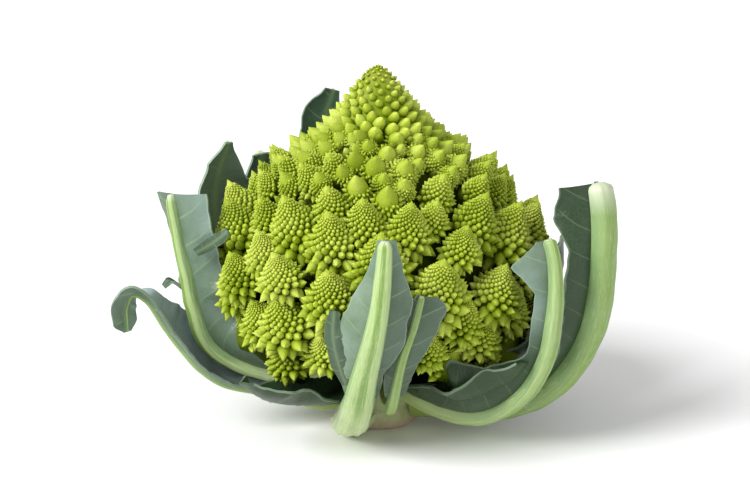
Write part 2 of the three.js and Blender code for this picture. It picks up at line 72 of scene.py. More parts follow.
# Outlines of a floret and of a young one: depth under the tip over its height, girth over its radius.
FLORET_OUTLINE = [
    (0, 0), (0.03, 0.035), (0.2, 0.24), (0.4, 0.48), (0.6, 0.71), (0.75, 0.87), (0.88, 0.97), (1.0, 1.0),
    (1.12, 0.88), (1.3, 0.60), (1.8, 0.38),
]
YOUNG_OUTLINE = [
    (0, 0), (0.03, 0.045), (0.12, 0.20), (0.25, 0.42), (0.43, 0.68), (0.63, 0.90), (0.82, 1.0), (0.98, 0.97),
    (1.2, 0.76), (1.8, 0.5),
]
GOLDEN_ANGLE = math.radians(137.508)
FIRST_FLORET_ANGLE = math.radians(64)
# How much of the crown's surface a floret takes, over its radius squared, on the crown and on the tip's cone.
PACKING = 4.1
TIP_PACKING = 2.6
SPIRAL_STEP = 0.25
TIP_CONE_END = 36
LARGE_FLORET = 9.5

# Seeds of the random draws, and how finely the leaves are divided between two rows of their table and across.
CORE_SEED, TIP_SEED, FLORETS_SEED, BLADES_SEED, RIBS_SEED = 11, 5, 23, 40, 60
BLADE_STEPS, BLADE_HALF_COLUMNS = 10, 12
RIB_STEPS, RIB_COLUMNS = 9, 30

# The florets that face the front: right of the stalk's middle, up from its foot and half the breadth, as they
# show to the eye at the front, in units of FRONT_UNIT.
FRONT_UNIT = 0.44
EYE_DISTANCE = 900
EYE_RISE = math.radians(15)
EYE_AIM = 75
PICTURE_WIDTH = 750
FRONT_FLORETS = [
    [-165, 244, 26], [-102, 269, 18], [-80, 289, 17], [-70, 306, 13], [-97, 229, 28],
    [-53, 270, 18], [-53, 238, 19], [-52, 213, 27], [-16, 226, 24], [3, 191, 29], [-106, 171, 22],
    [-52, 154, 27], [-104, 129, 28], [-150, 172, 22], [-155, 120, 24], [34, 222, 24],
    [30, 262, 15], [69, 250, 19], [90, 281, 16], [118, 276, 18], [110, 250, 17], [111, 232, 26],
    [161, 223, 24], [67, 165, 31], [130, 160, 26], [8, 120, 26], [-60, 88, 20], [52, 92, 20],
    [112, 108, 22], [-3, 265, 13], [-23, 247, 13], [-26, 270, 11], [11, 276, 11], [10, 237, 14],
    [-28, 289, 8], [22, 289, 10], [-11, 281, 8],
]

# The leaves. Each row is a stop along the rib from the stalk to the tip: x, y, z, the width of the rib, the
# width of the blade to its left and right as seen from outside, the angles in degrees that each side has
# curled inward by its margin, and a twist in degrees where there is one.
RIB, LEFT, RIGHT, LEFT_CURL, RIGHT_CURL, TWIST = range(3, 9)
# Each side's darkness value, with a top value where one is given, mixes the leaf's own deeper green with
# painted shade
# where a side is turned from the light; a low value paints light onto the inner side. The shaded values add
# painted shade low down.
LEAVES = {
    "front": {
        "facing": -4, "rib_depth": 0.42, "blade_from": 3, "ruffle": 0.9,
        "waves": 2.5, "pale": 1.0, "deep": (0.0, 0.5), "shaded": 0.0, "shaded_right": 0.6,
        "rows": [
            [-8, -13, 9, 16, 0, 0, 0, 0], [-12, -26, 9.5, 17, 0, 0, 0, 0], [-11, -42, 16, 15, 4, 4, 10, 10],
            [-8, -58, 29.5, 12.5, 6, 8, 15, 20], [-5.5, -74, 45.5, 10.5, 11, 8, 25, 20],
            [-2, -85, 62.3, 9, 15, 13, 40, 25], [0.8, -91, 79, 7.5, 13, 13.5, 40, 40],
            [2.2, -93, 94, 6.5, 6, 8, 30, 40], [2.8, -93, 106.5, 5.5, 3, 4.5, 20, 50],
        ],
    },
    "front_inner": {
        "facing": 8, "rib_depth": 0.6, "blade_from": 2.5, "ruffle": 1.2,
        "waves": 2, "pale": 0.4, "deep": (0.7, 0.6), "shaded": 0.3,
        "rows": [
            [3, -12, 22, 6, 0, 0, 0, 0], [4, -32, 21, 6, 0, 0, 0, 0], [5.5, -50, 24, 5, 2, 2, 10, 10],
            [7.5, -65, 38, 4, 5, 6, 30, 20], [10, -75, 53, 3.4, 7, 8, 50, 20],
            [14.5, -78.5, 67.3, 3, 7, 11, 50, 10], [16.7, -78.9, 76, 2.7, 4, 12, 40, 15],
            [17.6, -79, 80, 2.4, 2, 7, 30, 20],
        ],
    },
    "right_inner": {
        "facing": 45, "rib_depth": 0.6, "blade_from": 0.5, "ruffle": 0.9,
        "waves": 4, "pale": 0.65, "deep": (1.0, 0.5), "deep_top": 0.25, "shaded": 0.35,
        "rows": [
            [9, -11, 22, 11, 9, 6, 40, 20], [28, -28, 17.5, 10, 22, 8, 80, 30],
            [42, -38, 17, 9, 32, 9, 95, 40], [53, -46, 23, 8, 34, 9, 95, 40],
            [62.5, -52, 33.5, 7.5, 22, 8, 80, 45], [69, -56, 48, 7, 8, 7, 50, 50],
            [71, -58, 62, 6.5, 9, 7, 50, 50], [72, -58, 75.5, 6, 8, 7, 50, 50],
            [71, -57, 89, 5.5, 19, 7, 50, 50], [69, -55, 97, 5, 5, 5, 40, 50],
        ],
    },
    "right_outer": {
        "facing": 55, "rib_depth": 0.55, "blade_from": 1.5, "ruffle": 1.4,
        "waves": 3, "pale": 0.2, "cut_from": 8.0, "deep": (1.0, 0.8),
        "rows": [
            [12, -6, 12, 12, 0, 0, 0, 0], [43, -18, 14, 13, 7, 7, 10, 10], [61, -25, 19, 13, 8, 12, 10, 40],
            [74, -30, 28, 13, 11, 17, 15, 65], [83, -33, 40, 13, 14, 20, 20, 75],
            [89, -35, 54, 12.5, 17, 21, 25, 80], [92, -36, 71, 12, 18, 21, 35, 80],
            [93, -36, 88, 11.5, 16, 19, 60, 80], [92.5, -35, 103, 11, 22, 14, 80, 80],
            [91, -33, 116, 10.5, 17, 8, 80, 60],
        ],
    },
    "left_inner": {
        "facing": -50, "rib_depth": 0.55, "blade_from": 1, "ruffle": 1.0,
        "waves": 3, "pale": 0.9, "deep": (0.4, 0.3),
        "rows": [
            [-13, 2, 24, 9, 4, 5, 10, 10], [-38, -7, 25, 9, 8, 16, 30, 30],
            [-58, -11, 30, 8, 8, 21, 40, 42], [-73.5, -14, 41, 7.5, 5, 20, 30, 46],
            [-79, -15, 57, 7, 4, 18, 20, 46], [-80.7, -15, 65, 6.4, 17, 18, 20, 40],
            [-82, -15, 73, 5.8, 3.4, 18, 20, 42], [-84.5, -15, 84, 5.2, 9, 19, 15, 38],
            [-88, -15, 107, 4.6, 12, 19, 10, 35],
        ],
    },
    "left_outer": {
        "facing": -78, "rib_depth": 0.3, "blade_from": 1, "ruffle": 1.0,
        "waves": 4, "rib_fades": 7.6, "slim": 0.58, "pale": 0.3, "deep": (0.0, 0.5), "shaded": 0.0,
        "rows": [
            [-12, -2, 12, 10, 0, 0, 0, 0], [-24, -8, 10.5, 11, 13, 5, 40, 10],
            [-38, -10, 14, 10, 20, 6, 60, 10], [-52, -12, 18, 9, 22, 6, 70, 20],
            [-67, -16, 22.5, 8, 24, 7, 80, 30], [-77, -19, 30, 7, 23, 7, 80, 30],
            [-84, -21, 39, 6.5, 20, 7, 75, 30], [-91, -24, 50, 5.5, 17, 6, 65, 30],
            [-98, -26, 62, 4.5, 12, 6, 50, 20, 10], [-105, -27, 66, 4, 8, 8, 20, 20, 30],
            [-108.3, -27, 60, 3.5, 8, 7, 30, 30, 50], [-108.3, -27, 53, 3, 7, 6.5, 30, 30, 60],
            [-108, -27, 49, 3, 2, 2, 30, 30, 60],
        ],
    },
    "back_left": {
        "facing": -142, "rib_depth": 0.5, "blade_from": 1, "ruffle": 1.6,
        "waves": 3, "pale": 0.5, "deep": (0.36, 0.36),
        "rows": [
            [-9, 8, 21, 9, 5, 5, 10, 10], [-32, 24, 20, 9, 16, 16, 35, 35],
            [-54, 39, 29, 8, 24, 22, 45, 45], [-67, 49, 48, 7, 26, 24, 50, 50],
            [-74, 54, 68, 6, 24, 24, 40, 40], [-76, 54, 88, 5, 22, 17, 30, 30],
            [-73, 50, 104, 4, 12, 8, 20, 20], [-68, 45, 117, 2.6, 2, 2, 20, 20],
        ],
    },
    "rear_left": {
        "facing": -152, "rib_depth": 0.5, "blade_from": 1, "ruffle": 1.4,
        "waves": 3, "pale": 0.7, "deep": (0.5, 0.5),
        "rows": [
            [-9, 13, 11, 10, 5, 5, 10, 10], [-30, 41, 12.5, 10, 14, 7, 30, 10],
            [-43, 67, 23, 9, 20, 9, 40, 20], [-53, 84, 44, 8, 22, 9, 45, 20],
            [-57, 91, 66, 7, 18, 8, 40, 20], [-57, 85, 88, 6.5, 12, 9, 40, 30],
            [-55, 77, 105, 6, 5, 5, 30, 30],
        ],
    },
    "back": {
        "facing": 180, "rib_depth": 0.5, "blade_from": 1, "ruffle": 1.6,
        "waves": 3, "pale": 0.5, "deep": (0.8, 0.8),
        "rows": [
            [-2, 14, 21, 10, 5, 5, 10, 10], [-4, 42, 19, 10, 18, 18, 30, 30],
            [-6, 69, 29, 9, 26, 26, 45, 45], [-10, 84, 52, 8, 28, 28, 50, 50],
            [-15, 90, 76, 7, 26, 26, 45, 45], [-21, 88, 100, 6, 18, 20, 35, 35],
            [-25, 84, 120, 4.5, 9, 12, 30, 30], [-21, 80, 135, 3, 3, 4, 20, 20],
        ],
    },
    "back_right": {
        "facing": 128, "rib_depth": 0.5, "blade_from": 1, "ruffle": 1.6,
        "waves": 3, "pale": 0.5, "deep": (0.7, 0.7),
        "rows": [
            [11, 9, 11, 11, 5, 5, 10, 10], [34, 27, 14, 11, 18, 18, 40, 40],
            [55, 44, 25, 10, 36, 28, 50, 50], [67, 54, 42, 8, 42, 30, 55, 55],
            [71, 57, 60, 6, 32, 20, 50, 50], [68, 54, 78, 3.5, 4, 4, 20, 20],
        ],
    },
}

# Young leaves under the curd and small lobes beside the others, in the same rows. They have no rib.
# Their dark green is partly their own tone and partly painted shade.
UNDER_LEAVES = {
    "front_lobe": {
        "facing": -22, "blade_from": 0, "ruffle": 1.0, "waves": 1, "deep": (0.8, 0.8), "shaded": 0.0,
        "rows": [
            [-13, -66, 38, 2, 2, 2, 20, 20], [-16, -74, 50, 2, 4, 4, 40, 40],
            [-18, -80, 63, 2, 4.5, 4, 60, 50], [-17.5, -84, 75, 2, 2, 2, 40, 40],
        ],
    },
    "left_lobe": {
        "facing": -60, "blade_from": 0, "ruffle": 0.8, "waves": 1, "deep": (0.8, 0.8), "shaded": 0.0,
        "rows": [
            [-80, -12, 58, 2, 2, 2, 20, 20], [-85, -13, 64, 2, 3.5, 4, 30, 30],
            [-90, -15, 68, 2, 3.5, 4, 50, 40], [-93, -16, 66, 2, 1.5, 2, 40, 40],
        ],
    },
    "left_edge_lobe": {
        "facing": -35, "blade_from": 0, "ruffle": 0.6, "waves": 1, "deep": (0.9, 0.9), "shaded": 0.0,
        "rows": [
            [-77.5, -26, 84, 2, 2, 2, 20, 20], [-71, -32, 89, 2, 3, 2.5, 40, 30],
            [-66, -35, 93, 2, 2.5, 2.5, 50, 40], [-63, -36, 96, 2, 1.5, 1.5, 40, 40],
        ],
    },
    "under_left": {
        "facing": -35, "blade_from": 0, "ruffle": 1.5, "waves": 2, "deep": (1.0, 1.0),
        "rows": [
            [-9, -14, 26, 4, 6, 6, 10, 10], [-24, -34, 22, 4, 16, 15, 30, 30],
            [-38, -52, 25, 3, 19, 18, 40, 40], [-48, -64, 32, 2.5, 15, 15, 40, 40],
            [-54, -71, 40, 2, 4, 4, 30, 30],
        ],
    },
    "under_right": {
        "facing": 38, "blade_from": 0, "ruffle": 1.5, "waves": 2, "deep": (1.0, 1.0),
        "rows": [
            [10, -13, 27, 4, 6, 6, 10, 10], [27, -33, 24, 4, 17, 17, 30, 30],
            [43, -48, 27, 3, 20, 18, 40, 40], [54, -57, 36, 2.5, 15, 15, 40, 40],
            [60, -62, 46, 2, 4, 4, 30, 30],
        ],
    },
    "under_far_right": {
        "facing": 82, "blade_from": 0, "ruffle": 1.2, "waves": 2, "deep": (0.9, 0.9),
        "rows": [
            [17, 0, 27, 4, 6, 6, 10, 10], [42, -6, 25, 4, 18, 18, 30, 30], [64, -9, 34, 3, 24, 22, 40, 40],
            [76, -10, 52, 2.5, 23, 20, 45, 45], [80, -10, 72, 2, 16, 15, 40, 40],
            [80, -10, 88, 2, 4, 4, 30, 30],
        ],
    },
    "under_far_left": {
        "facing": -96, "blade_from": 0, "ruffle": 1.2, "waves": 2, "deep": (0.9, 0.9),
        "rows": [
            [-17, 2, 27, 4, 6, 6, 10, 10], [-42, 4, 25, 4, 18, 18, 30, 30], [-64, 8, 34, 3, 22, 22, 40, 40],
            [-77, 10, 52, 2.5, 20, 20, 45, 45], [-81, 10, 70, 2, 12, 12, 40, 40],
            [-82, 10, 84, 2, 4, 4, 30, 30],
        ],
    },
}
# The stalk's side from the cut face up: distance from the axis, height. The ribs begin at its radius.
STALK_RADIUS = 17
STALK_OUTLINE = [
    (14.6, 0), (15.6, 0.25), (16.5, 0.8), (17.1, 1.8), (17.8, 5), (18.1, 7.6), (17.9, 8.8), (17.2, 9.8),
    (17.4, 12), (18.1, 15.5), (18.4, 17.6), (18.1, 18.8), (17.4, 19.8), (17.6, 23), (18, 26.9),
]


class CurdSettings(bpy.types.PropertyGroup):
    """Sizes and colours of the curd's buds"""

    tip_bud: bpy.props.FloatProperty(
        name="Bud at the Tip", description="Radius of a floret's topmost buds over the floret's radius",
        default=0.045, min=0.02, max=0.2, subtype="FACTOR")
    foot_bud: bpy.props.FloatProperty(
        name="Bud at the Foot", description="Radius of a floret's lowest buds over the floret's radius",
        default=0.235, min=0.05, max=0.4, subtype="FACTOR")
    # Painted shade: the dark colour painted between the buds.
    crevice_shade_colour: bpy.props.FloatVectorProperty(
        name="Crevice Colour", description="Colour between the buds", subtype="COLOR",
        default=(0.030, 0.048, 0.001), min=0, max=1)
    body_colour: bpy.props.FloatVectorProperty(
        name="Bud Colour", description="Colour of the buds' sides", subtype="COLOR",
        default=(0.250, 0.345, 0.004), min=0, max=1)
    # The tips' paler colour is partly their own tone and partly a painted highlight.
    lit_colour: bpy.props.FloatVectorProperty(
        name="Bud Tip Colour", description="Colour of the buds' tips", subtype="COLOR",
        default=(0.600, 0.690, 0.090), min=0, max=1)


class LeafSettings(bpy.types.PropertyGroup):
    """Sizes and colours of the leaves"""

    vein_spacing: bpy.props.FloatProperty(
        name="Vein Spacing", description="Distance between side veins along the rib",
        default=13 * MM, min=4 * MM, max=40 * MM, unit="LENGTH")
    thickness: bpy.props.FloatProperty(
        name="Blade Thickness", description="Thickness of the leaf's blade",
        default=1.1 * MM, min=0.3 * MM, max=3 * MM, unit="LENGTH")
    outer_colour: bpy.props.FloatVectorProperty(
        name="Outer Side", description="Colour of the blade's outer side", subtype="COLOR",
        default=(0.130, 0.200, 0.115), min=0, max=1)
    # A deep green that is partly the blade's own and partly painted shade on sides turned from the light.
    deep_colour: bpy.props.FloatVectorProperty(
        name="Deep Green", description="Colour of the outer side where the blade is darker", subtype="COLOR",
        default=(0.016, 0.038, 0.014), min=0, max=1)
    # The inner side's dark green is partly painted shade.
    inner_colour: bpy.props.FloatVectorProperty(
        name="Inner Side", description="Colour of the blade's inner side", subtype="COLOR",
        default=(0.028, 0.062, 0.045), min=0, max=1)
    bloom_colour: bpy.props.FloatVectorProperty(
        name="Bloom Colour", description="Colour of the waxy bloom on the blade", subtype="COLOR",
        default=(0.210, 0.300, 0.300), min=0, max=1)
    vein_colour: bpy.props.FloatVectorProperty(
        name="Vein Colour", description="Colour of the side veins", subtype="COLOR",
        default=(0.240, 0.340, 0.170), min=0, max=1)
    # On the rib's edges this pale colour is partly a painted highlight.
    rib_colour: bpy.props.FloatVectorProperty(
        name="Rib Colour", description="Pale colour of the rib's edges and foot", subtype="COLOR",
        default=(0.415, 0.540, 0.225), min=0, max=1)
    rib_band_colour: bpy.props.FloatVectorProperty(
        name="Rib Band Colour", description="Green colour of the rib's middle band", subtype="COLOR",
        default=(0.150, 0.280, 0.028), min=0, max=1)


class StalkSettings(bpy.types.PropertyGroup):
    """Colours of the stalk"""

    rind_colour: bpy.props.FloatVectorProperty(
        name="Rind Colour", description="Colour of the stalk's side", subtype="COLOR",
        default=(0.560, 0.600, 0.360), min=0, max=1)
    cut_colour: bpy.props.FloatVectorProperty(
        name="Cut Colour", description="Colour of the stalk's cut face", subtype="COLOR",
        default=(0.520, 0.400, 0.280), min=0, max=1)


class StageSettings(bpy.types.PropertyGroup):
    """Floor, lights and camera"""

    floor_colour: bpy.props.FloatVectorProperty(
        name="Floor Colour", description="Colour of the floor", subtype="COLOR",
        default=(0.95, 0.95, 0.95), min=0, max=1)
    key_strength: bpy.props.FloatProperty(
        name="Key Light", description="Strength of the soft light from the upper left, in W/m2",
        default=3.9, min=0, max=20)
    fill_strength: bpy.props.FloatProperty(
        name="Fill Light", description="Strength of the soft light from the right, in W/m2",
        default=0.5, min=0, max=20)
    sky: bpy.props.FloatProperty(
        name="Surroundings", description="Brightness of the surroundings", default=0.58, min=0, max=5)
    lens: bpy.props.FloatProperty(
        name="Lens", description="Focal length of the camera", default=98.18 * MM, min=10 * MM, unit="LENGTH")


# Look-ups that the part's source uses too, so that each fine piece sits where its solid does.
def look_up(rows, at, column):
    """Value of a column at a place between rows sorted by their first number."""
    table = np.array(rows, float)
    return np.interp(at, table[:, 0], table[:, column])


def crown_rows():
    """The crown with the distance along it in front: distance, radius, height."""
    outline = np.array(CROWN, float)
    steps = np.hypot(*np.diff(outline, axis=0).T)
    return np.column_stack([np.concatenate([[0], np.cumsum(steps)]), outline])


CROWN_ROWS = crown_rows()
CROWN_LENGTH = CROWN_ROWS[-1, 0]


def rim_at(along):
    """The crown's distance from the axis."""
    return look_up(CROWN_ROWS, along, 1)


def height_at(along):
    """The crown's height."""
    return look_up(CROWN_ROWS, along, 2)


def size_at(along):
    """The radius of the florets at a distance along the crown."""
    return look_up(FLORET_SIZE, along, 1)


def slenderness(along):
    """The height of the dressed florets over their radius."""
    return look_up(FLORET_STANCE, along, 1)


def outward_at(angle):
    """The level direction away from the stalk's axis."""
    return np.array([math.cos(angle), math.sin(angle), 0])


def floret_at(along, angle):
    """A floret's tip, axis and size at a distance along the crown and an angle round the stalk."""
    radius = size_at(along)
    tilt = math.radians(look_up(FLORET_SIZE, along, 3))
    outward = outward_at(angle)
    axis = outward * math.sin(tilt) + np.array([0, 0, math.cos(tilt)])
    tip = outward * rim_at(along) + np.array([0, 0, height_at(along)])
    height = radius * look_up(FLORET_SIZE, along, 2)
    return {"along": along, "angle": angle, "radius": radius, "axis": axis, "tip": tip, "height": height}


def core_outline():
    """The body under the florets, from the stalk up: girth, height."""
    outline = [(15.6, 27.4), (18.5, 30), (25, 34)]
    for along in (CROWN_LENGTH, 122, 100, 84, 70, 56, 45, TIP_CONE_END):
        floret = floret_at(along, 0)
        root = floret["tip"] - floret["axis"] * floret["height"] * 1.02
        outline.append((root[0], root[2]))
    return [*outline, (6, 143)]


CORE_OUTLINE = core_outline()
CORE_GIRTHS, CORE_HEIGHTS = np.array(CORE_OUTLINE).T


def front_floret(right, up, breadth):
    """The floret on the crown that shows at the given place from the front."""
    along = np.arange(0, CROWN_LENGTH, SPIRAL_STEP)
    rim = rim_at(along)
    height = height_at(along) - EYE_AIM
    x = np.full_like(rim, right * FRONT_UNIT)
    for _ in range(3):
        y = -np.sqrt(np.maximum(0, rim**2 - x**2))
        nearness = EYE_DISTANCE / (EYE_DISTANCE + y * math.cos(EYE_RISE) - height * math.sin(EYE_RISE))
        x = right * FRONT_UNIT / nearness
    shown = (height * math.cos(EYE_RISE) + y * math.sin(EYE_RISE)) * nearness
    aim = up * FRONT_UNIT - EYE_AIM * math.cos(EYE_RISE)
    miss = np.abs(shown - aim) + np.maximum(0, np.abs(x) - rim)
    best = int(np.argmin(miss))
    floret = floret_at(along[best], math.atan2(y[best], x[best]))
    floret["radius"] = breadth * FRONT_UNIT / nearness[best]
    if breadth <= 14 and abs(right) < 30:
        floret["smooth"] = True
    return floret


def floret_spiral():
    """The florets counted off from the rim to the tip: those of the crown, and those of the tip's cone."""
    crown, tip, filled = [], [], 0.0
    along = CROWN_LENGTH
    while along > 0.8:
        on_crown = along > TIP_CONE_END
        radius = look_up(FLORET_SIZE if on_crown else TIP_BUDS, along, 1)
        packing = PACKING if on_crown else TIP_PACKING
        filled += SPIRAL_STEP * 2 * math.pi * rim_at(along) / (packing * radius * radius)
        count = len(crown) + len(tip)
        if filled >= count:
            found = floret_at(along, FIRST_FLORET_ANGLE + count * GOLDEN_ANGLE)
            found["radius"] = radius
            (crown if on_crown else tip).append(found)
        along -= SPIRAL_STEP
    return crown, tip


def gap(floret, other):
    """The distance between two florets' tips."""
    return np.linalg.norm(floret["tip"] - other["tip"])


def stance(floret):
    """The direction in which a floret points."""
    tilt = math.radians(look_up(FLORET_STANCE, floret["along"], 2))
    angle = floret["angle"]
    return np.array([math.sin(tilt) * math.cos(angle), math.sin(tilt) * math.sin(angle), math.cos(tilt)])


def all_florets():
    """The front's florets with those of the spiral that have room beside them, and the tip's."""
    closest = 0.82
    front = [front_floret(*place) for place in FRONT_FLORETS]
    crown, tip = floret_spiral()

    def has_room(floret):
        return all(gap(floret, other) > closest * (floret["radius"] + other["radius"]) for other in front)

    return front + [floret for floret in crown if has_room(floret)], tip


def cleft_florets(florets):
    """Small florets set deeper, where the others leave a hole between them."""
    begin, packing = 42, 0.25
    found, count, filled = [], 0, 0.0
    for along in np.arange(begin, CROWN_LENGTH, SPIRAL_STEP):
        local = size_at(along)
        filled += SPIRAL_STEP * 2 * math.pi * rim_at(along) / (packing * local * local)
        while count < filled:
            floret = floret_at(along, count * GOLDEN_ANGLE)
            count += 1
            floret["radius"] = 0.66 * local
            apart = [gap(floret, other) - 0.93 * other["radius"] for other in florets]
            near = [gap(floret, other) for other in found]
            faces_front = math.sin(floret["angle"]) < -0.4
            room = 0.45 if faces_front else 0.30
            if min(apart) > room * local and min(near, default=99) > 1.2 * local:
                found.append(floret)
    for floret in found:
        floret["tip"] = floret["tip"] - stance(floret) * floret["radius"] * 0.6
    return found


# Making shapes by hand, and copying them.
def clear_selection():
    """Goes to object mode with nothing selected."""
    if bpy.context.mode != "OBJECT":
        bpy.ops.object.mode_set(mode="OBJECT")
    bpy.ops.object.select_all(action="DESELECT")


def close_shape(fill_ends=False):
    """Merges the points that meet, turns the faces outward and leaves edit mode."""
    bpy.ops.mesh.select_all(action="SELECT")
    bpy.ops.mesh.remove_doubles(threshold=1e-6)
    if fill_ends:
        bpy.ops.mesh.fill_holes(sides=0)
        bpy.ops.mesh.select_all(action="SELECT")
    bpy.ops.mesh.normals_make_consistent(inside=False)
    bpy.ops.object.mode_set(mode="OBJECT")


def turned_shape(name, sides, outline, pointed=True):
    """A round shape drawn up ring by ring through girth and height, and closed in a point or a face."""
    clear_selection()
    last_girth, last_height = outline[0]
    bpy.ops.mesh.primitive_circle_add(
        vertices=sides, radius=last_girth, fill_type="NGON", location=(0, 0, last_height))
    shape = bpy.context.object
    shape.name = name
    bpy.ops.object.mode_set(mode="EDIT")
    bpy.ops.mesh.select_all(action="SELECT")
    for girth, height in outline[1:]:
        bpy.ops.mesh.extrude_region_move(TRANSFORM_OT_translate={"value": (0, 0, height - last_height)})
        size = girth / last_girth
        bpy.ops.transform.resize(value=(size, size, 1), center_override=(0, 0, height))
        last_girth, last_height = girth, height
    if pointed:
        bpy.ops.mesh.merge(type="CENTER")
    close_shape()
    bpy.ops.object.transform_apply(location=True, rotation=True, scale=True)
    return shape


def mesh_points(mesh):
    """The mesh's points, one to a row."""
    points = np.empty(len(mesh.vertices) * 3)
    mesh.vertices.foreach_get("co", points)
    return points.reshape(-1, 3)


def set_marks(mesh, **marks):
    """Keeps each mark as an attribute of the mesh's points."""
    for mark, values in marks.items():
        mesh.attributes.new(mark, "FLOAT", "POINT").data.foreach_set("value", values.astype(np.float32))


def take_arrays(shape):
    """The points and triangles of a finished pattern shape, which is then put away."""
    mesh = shape.data
    mesh.calc_loop_triangles()
    points = mesh_points(mesh)
    triangles = np.empty(len(mesh.loop_triangles) * 3, np.int32)
    mesh.loop_triangles.foreach_get("vertices", triangles)
    bpy.data.objects.remove(shape)
    return points, triangles.reshape(-1, 3)


def upright_frame(axis):
    """Three square directions as columns, the last of them the given axis."""
    axis = np.asarray(axis, float) / np.linalg.norm(axis)
    side = np.cross([0.0, 0.0, 1.0], axis)
    if np.linalg.norm(side) < 1e-6:
        side = np.array([1.0, 0.0, 0.0])
    side /= np.linalg.norm(side)
    return np.column_stack([side, np.cross(axis, side), axis])


def turn_about_z(angle):
    """A turn about the upright axis."""
    c, s = math.cos(angle), math.sin(angle)
    return np.array([[c, -s, 0], [s, c, 0], [0, 0, 1]])


class Gathered:
    """Copies of shapes that together become one piece, with their marks per point."""

    def __init__(self, marks):
        self.points, self.triangles, self.marks, self.count = [], [], {m: [] for m in marks}, 0

    def add(self, points, triangles, **marks):
        """Adds one copy, with a value or one per point for each mark."""
        self.points.append(points)
        self.triangles.append(triangles + self.count)
        self.count += len(points)
        for mark, found in self.marks.items():
            found.append(np.broadcast_to(np.asarray(marks[mark], float), (len(points),)))

    def arrays(self):
        """All copies as one set of points, triangles and marks."""
        marks = {mark: np.concatenate(found) for mark, found in self.marks.items()}
        return np.concatenate(self.points), np.concatenate(self.triangles), marks


def piece_from(name, points, triangles, marks):
    """A smooth mesh object from arrays in millimetres, with its marks as attributes."""
    mesh = bpy.data.meshes.new(name)
    mesh.from_pydata((points * MM).tolist(), [], triangles.tolist())
    set_marks(mesh, **marks)
    mesh.shade_smooth()
    piece = bpy.data.objects.new(name, mesh)
    bpy.context.collection.objects.link(piece)
    return piece


def settle(piece, finish, slot, *replaced):
    """Gives a finished piece its finish and its place in the frame."""
    piece.data.materials.clear()
    piece.data.materials.append(finish)
    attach(piece, "root")
    if replaced:
        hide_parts(*replaced)


# Finishes.
class Finish:
    """A material with its shader, and short ways to add nodes to it."""

    def __init__(self, name, roughness):
        self.material = bpy.data.materials.new(name)
        self.material.use_nodes = True
        self.tree = self.material.node_tree
        self.shader = self.tree.nodes["Principled BSDF"]
        self.shader.inputs["Roughness"].default_value = roughness
        self.object_place = self.node("ShaderNodeTexCoord").outputs["Object"]

    def node(self, kind, inputs=None, **settings):
        """Adds a node; an input is a plain value or another node's output."""
        node = self.tree.nodes.new(kind)
        for setting, value in settings.items():
            setattr(node, setting, value)
        for socket, value in (inputs or {}).items():
            if isinstance(value, bpy.types.NodeSocket):
                self.tree.links.new(value, node.inputs[socket])
            else:
                node.inputs[socket].default_value = value
        return node

    def mark(self, name):
        """A mark of the piece's points."""
        return self.node("ShaderNodeAttribute", attribute_name=name).outputs["Fac"]

    def height(self):
        """Height above the floor."""
        return self.node("ShaderNodeSeparateXYZ", {"Vector": self.object_place}).outputs["Z"]

    def noise(self, scale, detail=2.0, roughness=0.5, place=None):
        """Soft random patches."""
        inputs = {"Vector": place or self.object_place, "Scale": scale, "Detail": detail}
        return self.node("ShaderNodeTexNoise", {**inputs, "Roughness": roughness}).outputs["Fac"]

    def grains(self, scale, feature="F1"):
        """Distance in a pattern of small cells."""
        inputs = {"Vector": self.object_place, "Scale": scale}
        return self.node("ShaderNodeTexVoronoi", inputs, feature=feature).outputs["Distance"]

    def spread(self, value, low, high, to_low=0.0, to_high=1.0):
        """Maps a range to another and holds its ends."""
        inputs = {"Value": value, "From Min": low, "From Max": high, "To Min": to_low, "To Max": to_high}
        return self.node("ShaderNodeMapRange", inputs, clamp=True).outputs["Result"]

    def maths(self, operation, first, second=0.0):
        """One sum with values."""
        return self.node("ShaderNodeMath", {0: first, 1: second}, operation=operation).outputs["Value"]

    def blend(self, share, first, second):
        """A colour between two; 0, 6 and 7 are the share and the colours among the node's sockets."""
        colours = {socket: value if isinstance(value, bpy.types.NodeSocket) else (*value, 1)
                   for socket, value in ((6, first), (7, second))}
        return self.node("ShaderNodeMix", {0: share, **colours}, data_type="RGBA").outputs[2]

    def patched(self, noise, low, high, colour, other, most=1.0):
        """The colour with patches of another one where the noise is high."""
        return self.blend(self.spread(noise, low, high, 0, most), colour, other)

    def link(self, output, socket):
        """Links an output to one of the shader's sockets."""
        self.tree.links.new(output, self.shader.inputs[socket])

    def let_light_in(self, weight, scale, radius=None):
        """Lets light scatter under the surface, in metres, by its own share for each colour."""
        inputs = self.shader.inputs
        inputs["Subsurface Weight"].default_value = weight
        inputs["Subsurface Scale"].default_value = scale
        if radius:
            inputs["Subsurface Radius"].default_value = radius

    def bump(self, height, strength, distance, under=None):
        """Small relief, on top of another where one is given."""
        inputs = {"Height": height, "Strength": strength, "Distance": distance}
        if under is not None:
            inputs["Normal"] = under
        return self.node("ShaderNodeBump", inputs).outputs["Normal"]


